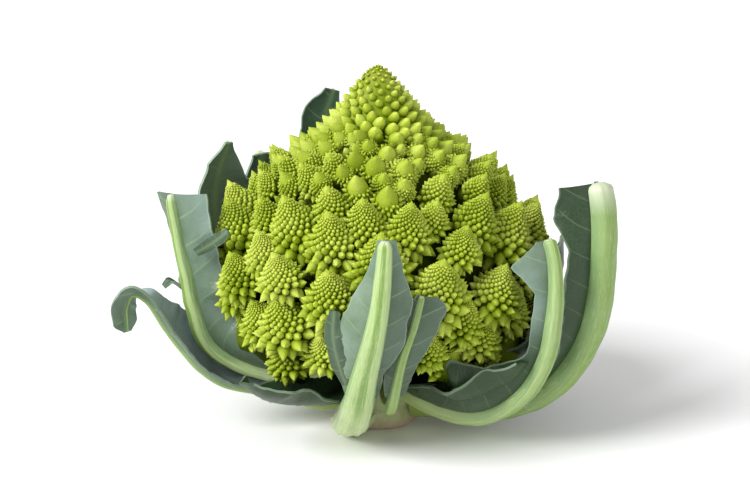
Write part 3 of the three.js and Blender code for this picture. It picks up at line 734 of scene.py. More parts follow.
def curd_finish(settings):
    """Yellow-green curd: painted shade in the crevices, bud tips paler by their own tone and by a painted
    highlight, and fine granules.
    """
    finish = Finish("curd_buds", 0.48)
    # The mark runs from the crevices up to the bud tips: tips paler by their own tone and by a painted
    # highlight.
    height = finish.mark("bud_height")
    colour = finish.patched(height, 0.45, 1.0, settings.body_colour, settings.lit_colour, 0.85)
    tone = finish.spread(finish.mark("bud_tone"), 0, 1, -0.10, 0.10)
    shade = finish.maths("ADD", tone, finish.spread(finish.noise(55, 3), 0.3, 0.7, -0.14, 0.14))
    colour = finish.patched(shade, 0, 0.22, colour, (0.56, 0.63, 0.12))
    colour = finish.patched(shade, 0, -0.22, colour, (0.15, 0.22, 0.002), 0.8)
    smooth_top = finish.spread(finish.mark("floret_depth"), 0.0, 0.22, 0.30, 0.0)
    colour = finish.blend(smooth_top, colour, (0.44, 0.53, 0.04))
    granules = finish.grains(1500)
    colour = finish.patched(granules, 0.3, 0.8, colour, (0.19, 0.27, 0.004), 0.2)
    near_top = finish.spread(finish.height(), 0.142, 0.160, 0, 0.55)
    crown = finish.maths("MULTIPLY", near_top, finish.spread(finish.noise(260), 0.35, 0.6))
    colour = finish.blend(crown, colour, (0.34, 0.36, 0.035))
    # Painted shade in the crevices between the buds.
    colour = finish.blend(finish.spread(height, 0.05, 0.45, 1.0, 0.0), colour, settings.crevice_shade_colour)
    finish.link(colour, "Base Color")
    rough = finish.bump(granules, 0.55, 0.30 * MM)
    finish.link(finish.bump(finish.noise(500, 3), 0.25, 0.4 * MM, rough), "Normal")
    finish.link(finish.spread(height, 0.1, 0.5, 0.02, 0.28), "Specular IOR Level")
    finish.let_light_in(0.14, 1.6 * MM, (0.8, 1.0, 0.15))
    return finish.material


def rib_finish(settings):
    """Pale rib: a greener band down the middle between edges paled partly by a painted highlight, fine
    grooves along it and a whiter foot.
    """
    finish = Finish("leaf_rib", 0.38)
    across, along, paleness = finish.mark("across"), finish.mark("along"), finish.mark("pale")
    stretched = {"X": finish.maths("MULTIPLY", across, 7.0), "Y": finish.maths("MULTIPLY", along, 0.035)}
    grain = finish.node("ShaderNodeCombineXYZ", stretched).outputs["Vector"]
    streaks = finish.noise(1.6, 3, 0.6, grain)
    fibres = finish.noise(5.5, 2, 0.6, grain)
    shifted = finish.maths("ADD", across, finish.spread(streaks, 0.3, 0.7, -0.25, 0.25))
    distance = finish.maths("ABSOLUTE", shifted)
    band = finish.spread(distance, 0.10, 0.42, 1.0, 0.0)
    edge = finish.spread(distance, 0.62, 0.98)
    # A rib's paleness is partly its own tone and partly painted light on ribs in shade; its pale edges are
    # partly a painted highlight.
    pale = finish.blend(paleness, (0.185, 0.300, 0.055), settings.rib_colour)
    banded = finish.maths("MULTIPLY", band, finish.spread(along, 15, 60, 0.35, 0.95))
    colour = finish.blend(banded, pale, settings.rib_band_colour)
    colour = finish.patched(fibres, 0.5, 0.74, colour, (0.24, 0.38, 0.10), 0.6)
    colour = finish.patched(fibres, 0.46, 0.30, colour, (0.58, 0.68, 0.40), 0.5)
    colour = finish.blend(finish.maths("MULTIPLY", edge, 0.75), colour, (0.17, 0.28, 0.12))
    near_foot = finish.spread(along, 8, 52, 0.85, 0.0)
    foot = finish.maths("MULTIPLY", near_foot, finish.spread(finish.noise(70), 0.2, 0.6, 0.4, 1))
    foot_colour = finish.blend(finish.spread(paleness, 0.5, 1.0), (0.34, 0.42, 0.075), (0.80, 0.86, 0.54))
    colour = finish.blend(foot, colour, foot_colour)
    colour = finish.patched(finish.noise(38, 3), 0.5, 0.75, colour, (0.36, 0.48, 0.24), 0.25)
    colour = finish.blend(finish.mark("cut"), colour, (0.62, 0.66, 0.50))
    finish.link(colour, "Base Color")
    finish.link(finish.bump(finish.maths("ADD", fibres, streaks), 0.35, 0.5 * MM), "Normal")
    finish.let_light_in(0.12, 2 * MM, (0.7, 1.0, 0.4))
    return finish.material


def blade_finish(settings):
    """Grey-green blade: paler outside, pale side veins, a fine net of veins and a bluish bloom, with painted
    shade and painted light by side and height, and a painted highlight along the margin.
    """
    finish = Finish("leaf_blade", 0.55)
    outer, margin, depth = finish.mark("outer_side"), finish.mark("margin"), finish.mark("deep")
    off = finish.maths("PINGPONG", finish.maths("ADD", finish.mark("vein_turns"), 40.0), 0.5)
    thin = finish.spread(margin, 0.1, 1.0, 0.060, 0.022)
    side_vein = finish.spread(off, 0.01, thin, 1.0, 0.0)
    side_vein = finish.maths("MULTIPLY", side_vein, finish.spread(margin, 0.8, 1.0, 0.8, 0.2))
    vein = finish.maths("MAXIMUM", side_vein, finish.mark("middle"))
    mottle = finish.spread(finish.noise(60, 4, 0.6), 0.3, 0.7)
    outside = finish.blend(mottle, settings.outer_colour, (0.240, 0.325, 0.255))
    # Painted shade: the outer side darkens where the mark says, partly the leaf's own deeper green and partly
    # shade painted onto sides turned from the light.
    deep = finish.blend(mottle, settings.deep_colour, (0.032, 0.066, 0.026))
    outside = finish.blend(depth, outside, deep)
    # The inner side's dark green is partly painted shade.
    inside = finish.blend(mottle, settings.inner_colour, (0.055, 0.100, 0.075))
    # Painted light: where the mark is low, the inner side is painted a pale blue-grey as if lit.
    inside = finish.blend(finish.spread(depth, 0.0, 0.5, 0.9, 0.0), inside, (0.420, 0.520, 0.530))
    colour = finish.blend(outer, inside, outside)
    patches = finish.spread(finish.noise(22, 3, 0.55), 0.40, 0.66, 0.0, 0.5)
    patches = finish.maths("MULTIPLY", patches, finish.spread(depth, 0.0, 0.6, 0.25, 1.0))
    colour = finish.blend(patches, colour, (0.035, 0.070, 0.032))
    bloom = finish.spread(finish.noise(28, 3, 0.6), 0.42, 0.72, 0.0, 0.6)
    bloom = finish.maths("MULTIPLY", bloom, finish.spread(margin, 0.2, 1.0, 0.25, 1.0))
    bloom = finish.maths("MULTIPLY", bloom, finish.spread(depth, 0.0, 0.9, 1.0, 0.0))
    colour = finish.blend(bloom, colour, settings.bloom_colour)
    net = finish.grains(330, "DISTANCE_TO_EDGE")
    colour = finish.blend(finish.spread(net, 0.0, 0.08, 0.04, 0.0), colour, settings.vein_colour)
    veined = finish.maths("MULTIPLY", vein, finish.spread(depth, 0.4, 1.0, 0.6, 0.24))
    colour = finish.blend(veined, colour, settings.vein_colour)
    # Painted shade: darker towards the floor, where the curd and the other leaves shade the blade.
    low = finish.spread(finish.height(), 0.030, 0.085, 0.80, 0.0)
    low = finish.maths("MULTIPLY", low, finish.mark("shaded"))
    colour = finish.blend(low, colour, (0.020, 0.044, 0.014))
    # Painted highlight along the curled margin.
    colour = finish.patched(margin, 0.95, 1.0, colour, (0.36, 0.46, 0.34), 0.45)
    finish.link(colour, "Base Color")
    finish.link(finish.spread(bloom, 0.1, 0.6, 0.42, 0.65), "Roughness")
    relief = finish.bump(finish.spread(net, 0.0, 0.14), 0.2, 0.3 * MM)
    finish.link(finish.bump(finish.noise(420, 3), 0.2, 0.5 * MM, relief), "Normal")
    finish.shader.inputs["Specular IOR Level"].default_value = 0.35
    finish.let_light_in(0.06, 1 * MM, (0.4, 1.0, 0.3))
    return finish.material


def stalk_finish(settings):
    """Pale stalk with a beige cut face."""
    finish = Finish("stalk", 0.6)
    uneven = finish.spread(finish.noise(120, 3), 0.2, 0.8, -2.5 * MM, 2.5 * MM)
    cut = finish.spread(finish.maths("ADD", finish.height(), uneven), 2 * MM, 7 * MM, 1.0, 0.0)
    colour = finish.patched(finish.noise(90, 4), 0.35, 0.7, settings.rind_colour, (0.40, 0.47, 0.20))
    colour = finish.blend(cut, colour, settings.cut_colour)
    colour = finish.patched(finish.noise(420, 2), 0.55, 0.75, colour, (0.66, 0.58, 0.45), 0.4)
    finish.link(colour, "Base Color")
    rough = finish.bump(finish.grains(620), 0.4, 0.5 * MM)
    finish.link(finish.bump(finish.noise(160, 4), 0.5, 1.0 * MM, rough), "Normal")
    finish.let_light_in(0.1, 2 * MM)
    return finish.material


def floor_finish(settings):
    """Plain pale floor without shine."""
    finish = Finish("pale_floor", 0.9)
    finish.shader.inputs["Base Color"].default_value = (*settings.floor_colour, 1)
    finish.shader.inputs["Specular IOR Level"].default_value = 0.1
    return finish.material


_finishes = {}


def finish_named(name, make, settings):
    """A finish that several pieces share, made once."""
    if name not in _finishes:
        _finishes[name] = make(settings)
    return _finishes[name]


# The curd.
# The curd's marks: painted shade in its crevices and painted light on its tips, depth down a floret, and a
# random tone.
MARKS = ("bud_height", "floret_depth", "bud_tone")


def bud_patterns():
    """The buds that repeat: a tiny granule, a round young bud and a pointed one, one unit wide and tall."""
    outlines = {
        "granule": (5, [(1.0, -0.35), (0.72, 0.62), (0.05, 1.12)]),
        "small_bud": (6, [(0.85, -0.5), (1.0, 0.1), (0.55, 0.85), (0.04, 1.38)]),
        "pointed_bud": (7, [(0.75, -0.6), (1.0, 0.05), (0.74, 0.62), (0.33, 1.15), (0.04, 1.58)]),
        "young_bud": (9, [(0.6, -0.9), (0.95, -0.25), (1.0, 0.12), (0.85, 0.5), (0.58, 0.86), (0.28, 1.18),
                          (0.04, 1.42)]),
    }
    return {name: take_arrays(turned_shape(name, *shape)) for name, shape in outlines.items()}


def bud_places(outline, tip_bud, foot_bud, growth, first, last, height, packing, turn):
    """Where the buds sit on a floret, a golden angle apart: depth, angle and radius of each."""
    places, filled, depth, step = [], 0.0, first, 0.002
    while depth < last:
        radius = tip_bud + (foot_bud - tip_bud) * min(depth, 1.0) ** growth
        girth = look_up(outline, depth, 1)
        slope = (look_up(outline, depth + step, 1) - girth) / step
        filled += 2 * math.pi * girth * step * math.hypot(slope, height) / (packing * radius * radius)
        if filled >= len(places):
            places.append((depth, turn + len(places) * GOLDEN_ANGLE, radius))
        depth += step
    return places


def floret_pattern(buds, outline, tip_bud, foot_bud, growth, first, height, sides, dice):
    """A floret one unit in radius with its tip at the origin: a pointed body set all over with buds."""
    made = Gathered((*MARKS, "owner"))
    body = [(max(girth * 0.95 - 0.02, 0.012), -height * depth) for depth, girth in outline[:0:-1]]
    points, triangles = take_arrays(turned_shape("floret_body", sides, body))
    depth = np.clip(-points[:, 2] / height, 0, 1.8)
    # The body gets painted light near its bare tip and painted shade lower down.
    bare = np.clip(1.25 - depth / max(2.2 * first, 0.35), 0, 1)
    shown = np.clip(0.16 + 0.55 * bare - 0.9 * np.maximum(0, depth - 0.8), 0.0, 0.7)
    made.add(points, triangles, bud_height=shown, floret_depth=np.clip(depth, 0, 1), bud_tone=0.5, owner=0)
    step = 0.04
    centres = [np.zeros(3)]
    places = bud_places(outline, tip_bud, foot_bud, growth, first, 1.36, height, 3.2, dice.uniform(0, 6.28))
    for depth, angle, radius in places:
        girth = look_up(outline, depth, 1)
        angle += dice.normal(0, 0.16) * radius / girth
        slope = (look_up(outline, depth + step, 1) - look_up(outline, depth - step, 1)) / (2 * step)
        outward = outward_at(angle)
        normal = outward * height + np.array([0, 0, slope])
        normal /= np.linalg.norm(normal)
        lean = 0.5 - 0.4 * min(depth, 1)
        fine = np.clip((0.16 - radius) / 0.11, 0, 1)
        axis = normal + np.array([0, 0, lean]) + dice.normal(0, 0.07, 3)
        unit, faces = buds["granule" if radius < 0.075 else "small_bud" if radius < 0.13 else "pointed_bud"]
        tall = 0.75 + 2.2 * min(radius, 0.24)
        wide = radius * dice.uniform(0.9, 1.12)
        shaped = unit * np.array([wide, wide, wide * tall * dice.uniform(0.85, 1.15)])
        foot = outward * girth + np.array([0, 0, -height * depth]) - normal * radius * (0.1 + 0.35 * fine)
        placed = shaped @ (upright_frame(axis) @ turn_about_z(angle * 3)).T + foot
        # Each bud gets painted shade at its foot and painted light towards its tip; fine granules get less of
        # both.
        shown = 0.34 + 0.30 * fine + (0.60 - 0.32 * fine) * unit[:, 2] / unit[:, 2].max()
        made.add(placed, faces, bud_height=np.clip(shown, 0.03, 1), floret_depth=min(depth, 1),
                 bud_tone=dice.uniform(0, 1), owner=len(centres))
        centres.append(placed.mean(0))
    return (*made.arrays(), np.array(centres))


def blade_samples():
    """Points all over the blades: angle round the stalk, distance from it and height."""
    found = []
    for leaf in (LEAVES | UNDER_LEAVES).values():
        last = len(leaf["rows"]) - 1
        stops = np.linspace(leaf["blade_from"], last, int((last - leaf["blade_from"]) * 5))
        shares = np.linspace(-1, 1, 15)[None]
        left, right = eased_value(leaf, stops, LEFT)[:, None], eased_value(leaf, stops, RIGHT)[:, None]
        width = np.where(shares < 0, left, right)
        found.append(leaf_points(leaf, stops, shares * width, 0.0).reshape(-1, 3))
    return np.vstack(found)


def is_past_blade(centres, samples):
    """Which buds would poke through a leaf's blade."""
    reach, clear, over, under = 40, 3.8, 2.2, 14
    away = np.linalg.norm(samples - centres.mean(0), axis=1)
    near = samples[away < reach]
    if not len(near):
        return np.zeros(len(centres), bool)
    outward = centres / np.linalg.norm(centres * [1, 1, 0.6], axis=1)[:, None]
    gap = near[None] - centres[:, None]
    along = np.einsum("ijk,ik->ij", gap, outward)
    aside = np.linalg.norm(gap - along[..., None] * outward[:, None], axis=2)
    return ((aside < clear) & (along < over) & (along > -under)).any(axis=1)


def is_covered(centres, floret, florets):
    """Which buds lie inside a neighbouring floret or inside the core, where they can't be seen."""
    covered = np.hypot(centres[:, 0], centres[:, 1]) < np.interp(centres[:, 2], CORE_HEIGHTS, CORE_GIRTHS) - 1
    behind = (floret["tip"] - centres) @ np.array([math.cos(floret["angle"]), math.sin(floret["angle"]), 0.2])
    covered |= (behind > 1.5 * floret["radius"]) & (floret["along"] > 60)
    for other in florets:
        reach = 2.2 * (other["radius"] + floret["radius"])
        if other is floret or gap(floret, other) > reach:
            continue
        inward = other["tip"] - centres
        axis = stance(other)
        under = inward @ axis
        away = np.linalg.norm(inward - under[:, None] * axis, axis=1)
        depth = under / (other["radius"] * slenderness(other["along"]))
        girth = 0.9 * other["radius"] * look_up(FLORET_OUTLINE, depth, 1)
        covered |= (depth > 0) & (depth < 1.8) & (away < girth)
    return covered


def place_floret(gathered, pattern, floret, height, spin, tone, florets, samples):
    """Copies a floret pattern to its place on the crown, without the buds that its neighbours hide."""
    points, triangles, marks, centres = pattern
    size = floret["radius"]
    scale = np.array([size, size, size * slenderness(floret["along"]) / height])
    turned = upright_frame(stance(floret)) @ turn_about_z(spin)
    placed_centres = (centres * scale) @ turned.T + floret["tip"]
    covered = is_covered(placed_centres, floret, florets) | is_past_blade(placed_centres, samples)
    covered[0] = False
    owner = marks["owner"].astype(int)
    kept = ~covered[owner]
    fresh = np.cumsum(kept) - 1
    placed = (points[kept] * scale) @ turned.T + floret["tip"]
    gathered.add(placed, fresh[triangles[kept[triangles[:, 0]]]], bud_height=marks["bud_height"][kept],
                 floret_depth=marks["floret_depth"][kept],
                 bud_tone=np.clip(marks["bud_tone"][kept] * 0.6 + tone * 0.4, 0, 1))


class ROMANESCO_OT_core(bpy.types.Operator):
    """Makes the body under the florets, with the stubs of the branches in its clefts"""

    bl_idname = "romanesco.core"
    bl_label = "Core of the Curd"

    def execute(self, context):
        dice = np.random.default_rng(CORE_SEED)
        outline = CORE_OUTLINE
        finer = [outline[0]]
        for low, high in zip(outline, outline[1:]):
            for share in (1 / 3, 2 / 3, 1):
                finer.append((low[0] + (high[0] - low[0]) * share, low[1] + (high[1] - low[1]) * share))
        made = Gathered(MARKS)
        body = take_arrays(turned_shape("core_body", 48, finer))
        # The core's body and stubs are painted in deep shade.
        made.add(*body, bud_height=0.02, floret_depth=1.0, bud_tone=0.3)
        unit, faces = bud_patterns()["small_bud"]
        heights = np.array(finer)
        stubs, lowest = 420, 5
        for number in range(stubs):
            share = (number + 0.5) / stubs
            at = lowest + share * (len(heights) - lowest - 3)
            low = int(at)
            girth, z = heights[low] + (heights[low + 1] - heights[low]) * (at - low)
            angle = number * GOLDEN_ANGLE
            outward = outward_at(angle)
            wide = dice.uniform(1.7, 3.2)
            shaped = unit * np.array([wide, wide, wide * 1.5])
            axis = outward + np.array([0, 0, 0.9]) + dice.normal(0, 0.15, 3)
            placed = shaped @ upright_frame(axis).T + outward * girth + np.array([0, 0, z])
            made.add(placed, faces, bud_height=np.clip(0.1 + 0.25 * unit[:, 2], 0.02, 1), floret_depth=1.0,
                     bud_tone=dice.uniform(0, 1))
        piece = piece_from("curd_core", *made.arrays())
        finish = finish_named("curd", curd_finish, context.scene.romanesco_curd)
        settle(piece, finish, "curd", "curd")
        return {"FINISHED"}


class ROMANESCO_OT_crown_tip(bpy.types.Operator):
    """Makes the curd's tip, where the florets are still single buds"""

    bl_idname = "romanesco.crown_tip"
    bl_label = "Tip of the Crown"

    def execute(self, context):
        dice = np.random.default_rng(TIP_SEED)
        buds = bud_patterns()
        made = Gathered(MARKS)
        root = (9, 118)
        outline = [root]
        for stop in np.linspace(TIP_CONE_END * 1.15, 0.6, 16):
            sunk = (1.2 + 0.9 * stop / TIP_CONE_END) * look_up(TIP_BUDS, stop, 1)
            outline.append((max(rim_at(stop) - sunk, 0.15), height_at(stop) - sunk))
        body = take_arrays(turned_shape("tip_body", 30, outline))
        # The tip's body and buds get painted shade and light as the florets' buds do.
        made.add(*body, bud_height=0.36, floret_depth=0.6, bud_tone=0.5)
        for floret in all_florets()[1]:
            size = floret["radius"] * dice.uniform(1.14, 1.34)
            unit, faces = buds["young_bud" if size > 1.2 else "granule"]
            tall = 1.0 + 0.6 * floret["along"] / TIP_CONE_END
            shaped = unit * np.array([size, size, size * tall])
            axis = stance(floret) + dice.normal(0, 0.09, 3)
            axis /= np.linalg.norm(axis)
            reach = unit[:, 2].max() * size * tall
            placed = shaped @ upright_frame(axis).T + floret["tip"] - axis * reach * 0.96
            made.add(placed, faces, bud_height=np.clip(0.40 + 0.5 * unit[:, 2], 0.05, 1),
                     floret_depth=0.6, bud_tone=dice.uniform(0, 1))
        piece = piece_from("curd_tip", *made.arrays())
        settle(piece, finish_named("curd", curd_finish, context.scene.romanesco_curd), "curd")
        return {"FINISHED"}


class ROMANESCO_OT_florets(bpy.types.Operator):
    """Makes the florets, each a cone of buds, and sets them round the crown"""

    bl_idname = "romanesco.florets"
    bl_label = "Florets"

    def execute(self, context):
        settings = context.scene.romanesco_curd
        dice = np.random.default_rng(FLORETS_SEED)
        buds = bud_patterns()
        tip_bud, foot_bud = settings.tip_bud, settings.foot_bud
        # Up to a radius in mm: the outline, its height, where its buds begin, and the buds at tip and foot.
        kinds = (
            (4.7, YOUNG_OUTLINE, 1.7, 0.62, tip_bud * 2.6, foot_bud * 0.85),
            (6.6, YOUNG_OUTLINE, 2.0, 0.40, tip_bud * 2.3, foot_bud * 0.85),
            (LARGE_FLORET, FLORET_OUTLINE, 2.1, 0.22, tip_bud * 1.6, foot_bud),
            (99, FLORET_OUTLINE, 1.85, 0.15, tip_bud, foot_bud),
        )
        patterns = [[floret_pattern(buds, outline, small, big, 1.8, first, height, 14, dice)
                     for _ in range(2 if limit < LARGE_FLORET else 3)]
                    for limit, outline, height, first, small, big in kinds]
        sectors = {}
        names = ("right", "back_right", "back_left", "left", "front_left", "front_right")
        sector = 2 * math.pi / len(names)
        florets = all_florets()[0]
        florets += cleft_florets(florets)
        samples = blade_samples()
        for floret in florets:
            turn = (floret["angle"] + sector / 2) % (2 * math.pi)
            sectors.setdefault(names[int(turn / sector)], []).append(floret)
        finish = finish_named("curd", curd_finish, settings)
        for name, members in sectors.items():
            made = Gathered(MARKS)
            for floret in members:
                grown = max(floret["radius"], 0.8 * size_at(floret["along"]))
                kind = 0 if "smooth" in floret else next(i for i, row in enumerate(kinds) if grown <= row[0])
                pattern = patterns[kind][int(dice.integers(len(patterns[kind])))]
                place_floret(made, pattern, floret, kinds[kind][2], dice.uniform(0, 6.28), dice.uniform(0, 1),
                             florets, samples)
            piece = piece_from(f"curd_florets_{name}", *made.arrays())
            settle(piece, finish, "curd")
        return {"FINISHED"}


# The leaves.
def row_value(leaf, stops, column):
    """A value of the leaf's rows at stops that lie between two of them."""
    values = [row[column] if column < len(row) else 0 for row in leaf["rows"]]
    return np.interp(stops, np.arange(len(values)), values)


def eased_value(leaf, stops, column):
    """As row_value, but half eased, so that an outline bends gently at each row."""
    values = np.array([row[column] for row in leaf["rows"]], float)
    low = np.clip(np.floor(stops).astype(int), 0, len(values) - 2)
    share = stops - low
    share = 0.5 * share + 0.5 * share * share * (3 - 2 * share)
    return values[low] + (values[low + 1] - values[low]) * share


def rib_line(leaf, stops):
    """Points on the middle line of the rib."""
    rows = np.array([row[:3] for row in leaf["rows"]], float)
    ends = np.vstack([2 * rows[0] - rows[1], rows, 2 * rows[-1] - rows[-2]])
    low = np.clip(np.floor(stops).astype(int), 0, len(rows) - 2)
    share = (stops - low)[:, None]
    a, b, c, d = ends[low], ends[low + 1], ends[low + 2], ends[low + 3]
    bend = (2 * a - 5 * b + 4 * c - d) * share**2 + (3 * b - a - 3 * c + d) * share**3
    return b + 0.5 * ((c - a) * share + bend)


def leaf_frames(leaf, stops):
    """The rib's middle, the direction across it and the direction out of the leaf's outer side."""
    last = len(leaf["rows"]) - 1
    along = rib_line(leaf, np.minimum(stops + 0.02, last)) - rib_line(leaf, np.maximum(stops - 0.02, 0))
    along /= np.linalg.norm(along, axis=1)[:, None]
    facing = math.radians(leaf["facing"])
    across = np.tile([math.cos(facing), math.sin(facing), 0.0], (len(stops), 1))
    across -= along * np.sum(across * along, axis=1)[:, None]
    across /= np.linalg.norm(across, axis=1)[:, None]
    twist = np.radians(row_value(leaf, stops, TWIST))[:, None]
    across = across * np.cos(twist) + np.cross(along, across) * np.sin(twist)
    outward = np.cross(across, along)
    return rib_line(leaf, stops), across, outward / np.linalg.norm(outward, axis=1)[:, None]


def leaf_points(leaf, stops, sides, lift):
    """Points `sides` mm from the rib's middle on the curled blade, lifted outward. All are grids by stop."""
    middle, across, outward = leaf_frames(leaf, stops)
    left = sides < 0

    def by_side(*columns):
        return np.where(left, *(row_value(leaf, stops, column)[:, None] for column in columns))

    width, fold = np.maximum(by_side(LEFT, RIGHT), 8), by_side(LEFT_CURL, RIGHT_CURL)
    curl = np.maximum(np.radians(fold), 0.01) / width
    turned = curl * sides
    over = np.sin(turned) / curl + lift * np.sin(turned)
    out = (np.cos(turned) - 1) / curl + lift * np.cos(turned)
    return middle[:, None] + across[:, None] * over[..., None] + outward[:, None] * out[..., None]


def grid_start(name, columns, rows):
    """A flat grid to shape: the object, and each point's column and row."""
    clear_selection()
    bpy.ops.mesh.primitive_grid_add(x_subdivisions=columns, y_subdivisions=rows, size=1)
    sheet = bpy.context.object
    sheet.name = name
    flat = mesh_points(sheet.data)
    column = np.rint((flat[:, 0] + 0.5) * columns).astype(int)
    row = np.rint((flat[:, 1] + 0.5) * rows).astype(int)
    return sheet, column, row


def distance_along(line):
    """How far along the line each of its points is."""
    return np.concatenate([[0], np.cumsum(np.linalg.norm(np.diff(line, axis=0), axis=1))])


def vein_turns(sides, along, spacing, dice):
    """Side veins counted along the leaf, each at a whole number: they leave the rib slanting to the tip."""
    reach = np.abs(sides)
    slant = along[:, None] - 0.55 * reach - 0.006 * reach**2
    wander = 0.8 * np.sin(reach * 0.23 + along[:, None] * 0.05)
    return (slant + wander) / spacing + np.where(sides < 0, 0.0, 0.47) + dice.uniform(0, 1)


def ruffles(leaf, sides, width, free, share, along):
    """How far the waves lift the blade, more and more towards its margin."""
    phase = np.where(sides < 0, 1.0, 3.6)
    wave = leaf["ruffle"] * free * np.sin(2 * math.pi * leaf["waves"] * share + phase) * width / 10
    wave += 0.55 * free**2 * np.sin(along[:, None] * 0.42 + phase * 2)
    return wave + 0.15 * free**2 * np.sin(along[:, None] * 0.95 + phase)


def greens_and_shade(leaf, sides, share):
    """How dark the blade's outer side is, partly its own deeper green and partly painted shade, and how much
    painted shade its lower part gets.
    """
    to_right = np.clip(0.5 + sides / 6, 0, 1)
    shade = leaf.get("shaded", 1.0)
    shaded = shade + (leaf.get("shaded_right", shade) - shade) * to_right
    left_deep, right_deep = leaf["deep"]
    left_deep = left_deep + (leaf.get("deep_top", left_deep) - left_deep) * np.clip(share * 5 - 2.5, 0, 1)
    return left_deep + (right_deep - left_deep) * to_right, shaded


def thicken(sheet, thickness):
    """Gives the sheet its thickness, and marks the side that faces out of the leaf."""
    mesh = sheet.data
    count = len(mesh.vertices)
    set_marks(mesh, outer_side=np.ones(count))
    solid = sheet.modifiers.new("thickness", "SOLIDIFY")
    solid.thickness = thickness
    solid.offset = 0
    bpy.ops.object.modifier_apply(modifier=solid.name)
    outer = np.zeros(len(mesh.vertices), np.float32)
    outer[:count] = 1
    mesh.attributes["outer_side"].data.foreach_set("value", outer)


class ROMANESCO_OT_blades(bpy.types.Operator):
    """Makes the leaves' blades: thin curled sheets with raised side veins and a ruffled margin"""

    bl_idname = "romanesco.blades"
    bl_label = "Leaf Blades"

    def execute(self, context):
        settings = context.scene.romanesco_leaf
        finish = finish_named("blade", blade_finish, settings)
        for number, (name, leaf) in enumerate((LEAVES | UNDER_LEAVES).items()):
            self.make_blade(name, leaf, settings, finish, np.random.default_rng(BLADES_SEED + number))
        return {"FINISHED"}

    def toothed(self, width, along, dice):
        """The width of one side of the blade with the slight waves of its edge."""
        broad = 0.03 * np.sin(along * 0.21 + dice.uniform(0, 6))
        return width * (1 + broad + 0.012 * np.sin(along * 0.8 + dice.uniform(0, 6)))

    def make_blade(self, name, leaf, settings, finish, dice):
        """Shapes one blade and marks where its veins and margin are, and where it gets a darker green and
        painted shade.
        """
        first, last = leaf["blade_from"], len(leaf["rows"]) - 1
        rows = int((last - first) * BLADE_STEPS)
        stops = np.linspace(first, last, rows + 1)
        shares = np.linspace(-1, 1, 2 * BLADE_HALF_COLUMNS + 1)
        shares = np.sign(shares) * np.abs(shares) ** 0.9
        along = distance_along(rib_line(leaf, stops))
        left, right = (self.toothed(np.maximum(eased_value(leaf, stops, side), 1.5), along, dice)
                       for side in (LEFT, RIGHT))
        width = np.where(shares < 0, left[:, None], right[:, None])
        sides = shares[None] * width
        rib_half = row_value(leaf, stops, RIB)[:, None] / 2
        free = np.maximum(0, (np.abs(sides) - rib_half) / np.maximum(width, 6))
        share = ((stops - first) / (last - first))[:, None]
        spacing, vein_width = settings.vein_spacing / MM, 1.3
        turns = vein_turns(sides, along, spacing, dice)
        off = np.abs((turns + 0.5) % 1 - 0.5) * spacing
        vein = np.exp(-((off / vein_width) ** 2)) * np.clip(free * 5, 0, 1)
        lift = ruffles(leaf, sides, width, free, share, along) + 0.35 * vein - 0.2 * free * (1 - vein)
        sheet, column, row = grid_start(f"{name}_leaf_blade", 2 * BLADE_HALF_COLUMNS, rows)
        points = leaf_points(leaf, stops, sides, lift) * MM
        sheet.data.vertices.foreach_set("co", points[row, column].ravel())
        middle = np.exp(-((sides / (0.7 * rib_half)) ** 2))
        deep, shaded = greens_and_shade(leaf, sides, share)
        set_marks(sheet.data, vein_turns=turns[row, column], middle=middle[row, column],
                  margin=np.abs(shares)[column], deep=deep[row, column], shaded=shaded[row, column])
        thicken(sheet, settings.thickness)
        bpy.ops.object.shade_smooth_by_angle(angle=math.radians(50))
        settle(sheet, finish, "blade", *([f"{name}_blade"] if name in LEAVES else []))


def rib_section(around):
    """The rib's section, in shares of its half width and depth: a fluted arch over a flat inner side."""
    arch, bulge = 0.74, 2 / 2.5
    turn = np.linspace(0, 1, around + 1)
    arc = np.clip(turn / arch, 0, 1) * math.pi
    side = -np.sign(np.cos(arc)) * np.abs(np.cos(arc)) ** bulge
    flutes = 1 + 0.045 * np.cos(arc * 13) * np.sin(arc)
    rise = np.abs(np.sin(arc)) ** bulge * flutes
    flat = turn > arch
    side[flat] = 1 - 2 * (turn[flat] - arch) / (1 - arch)
    rise[flat] = 0
    return side, rise


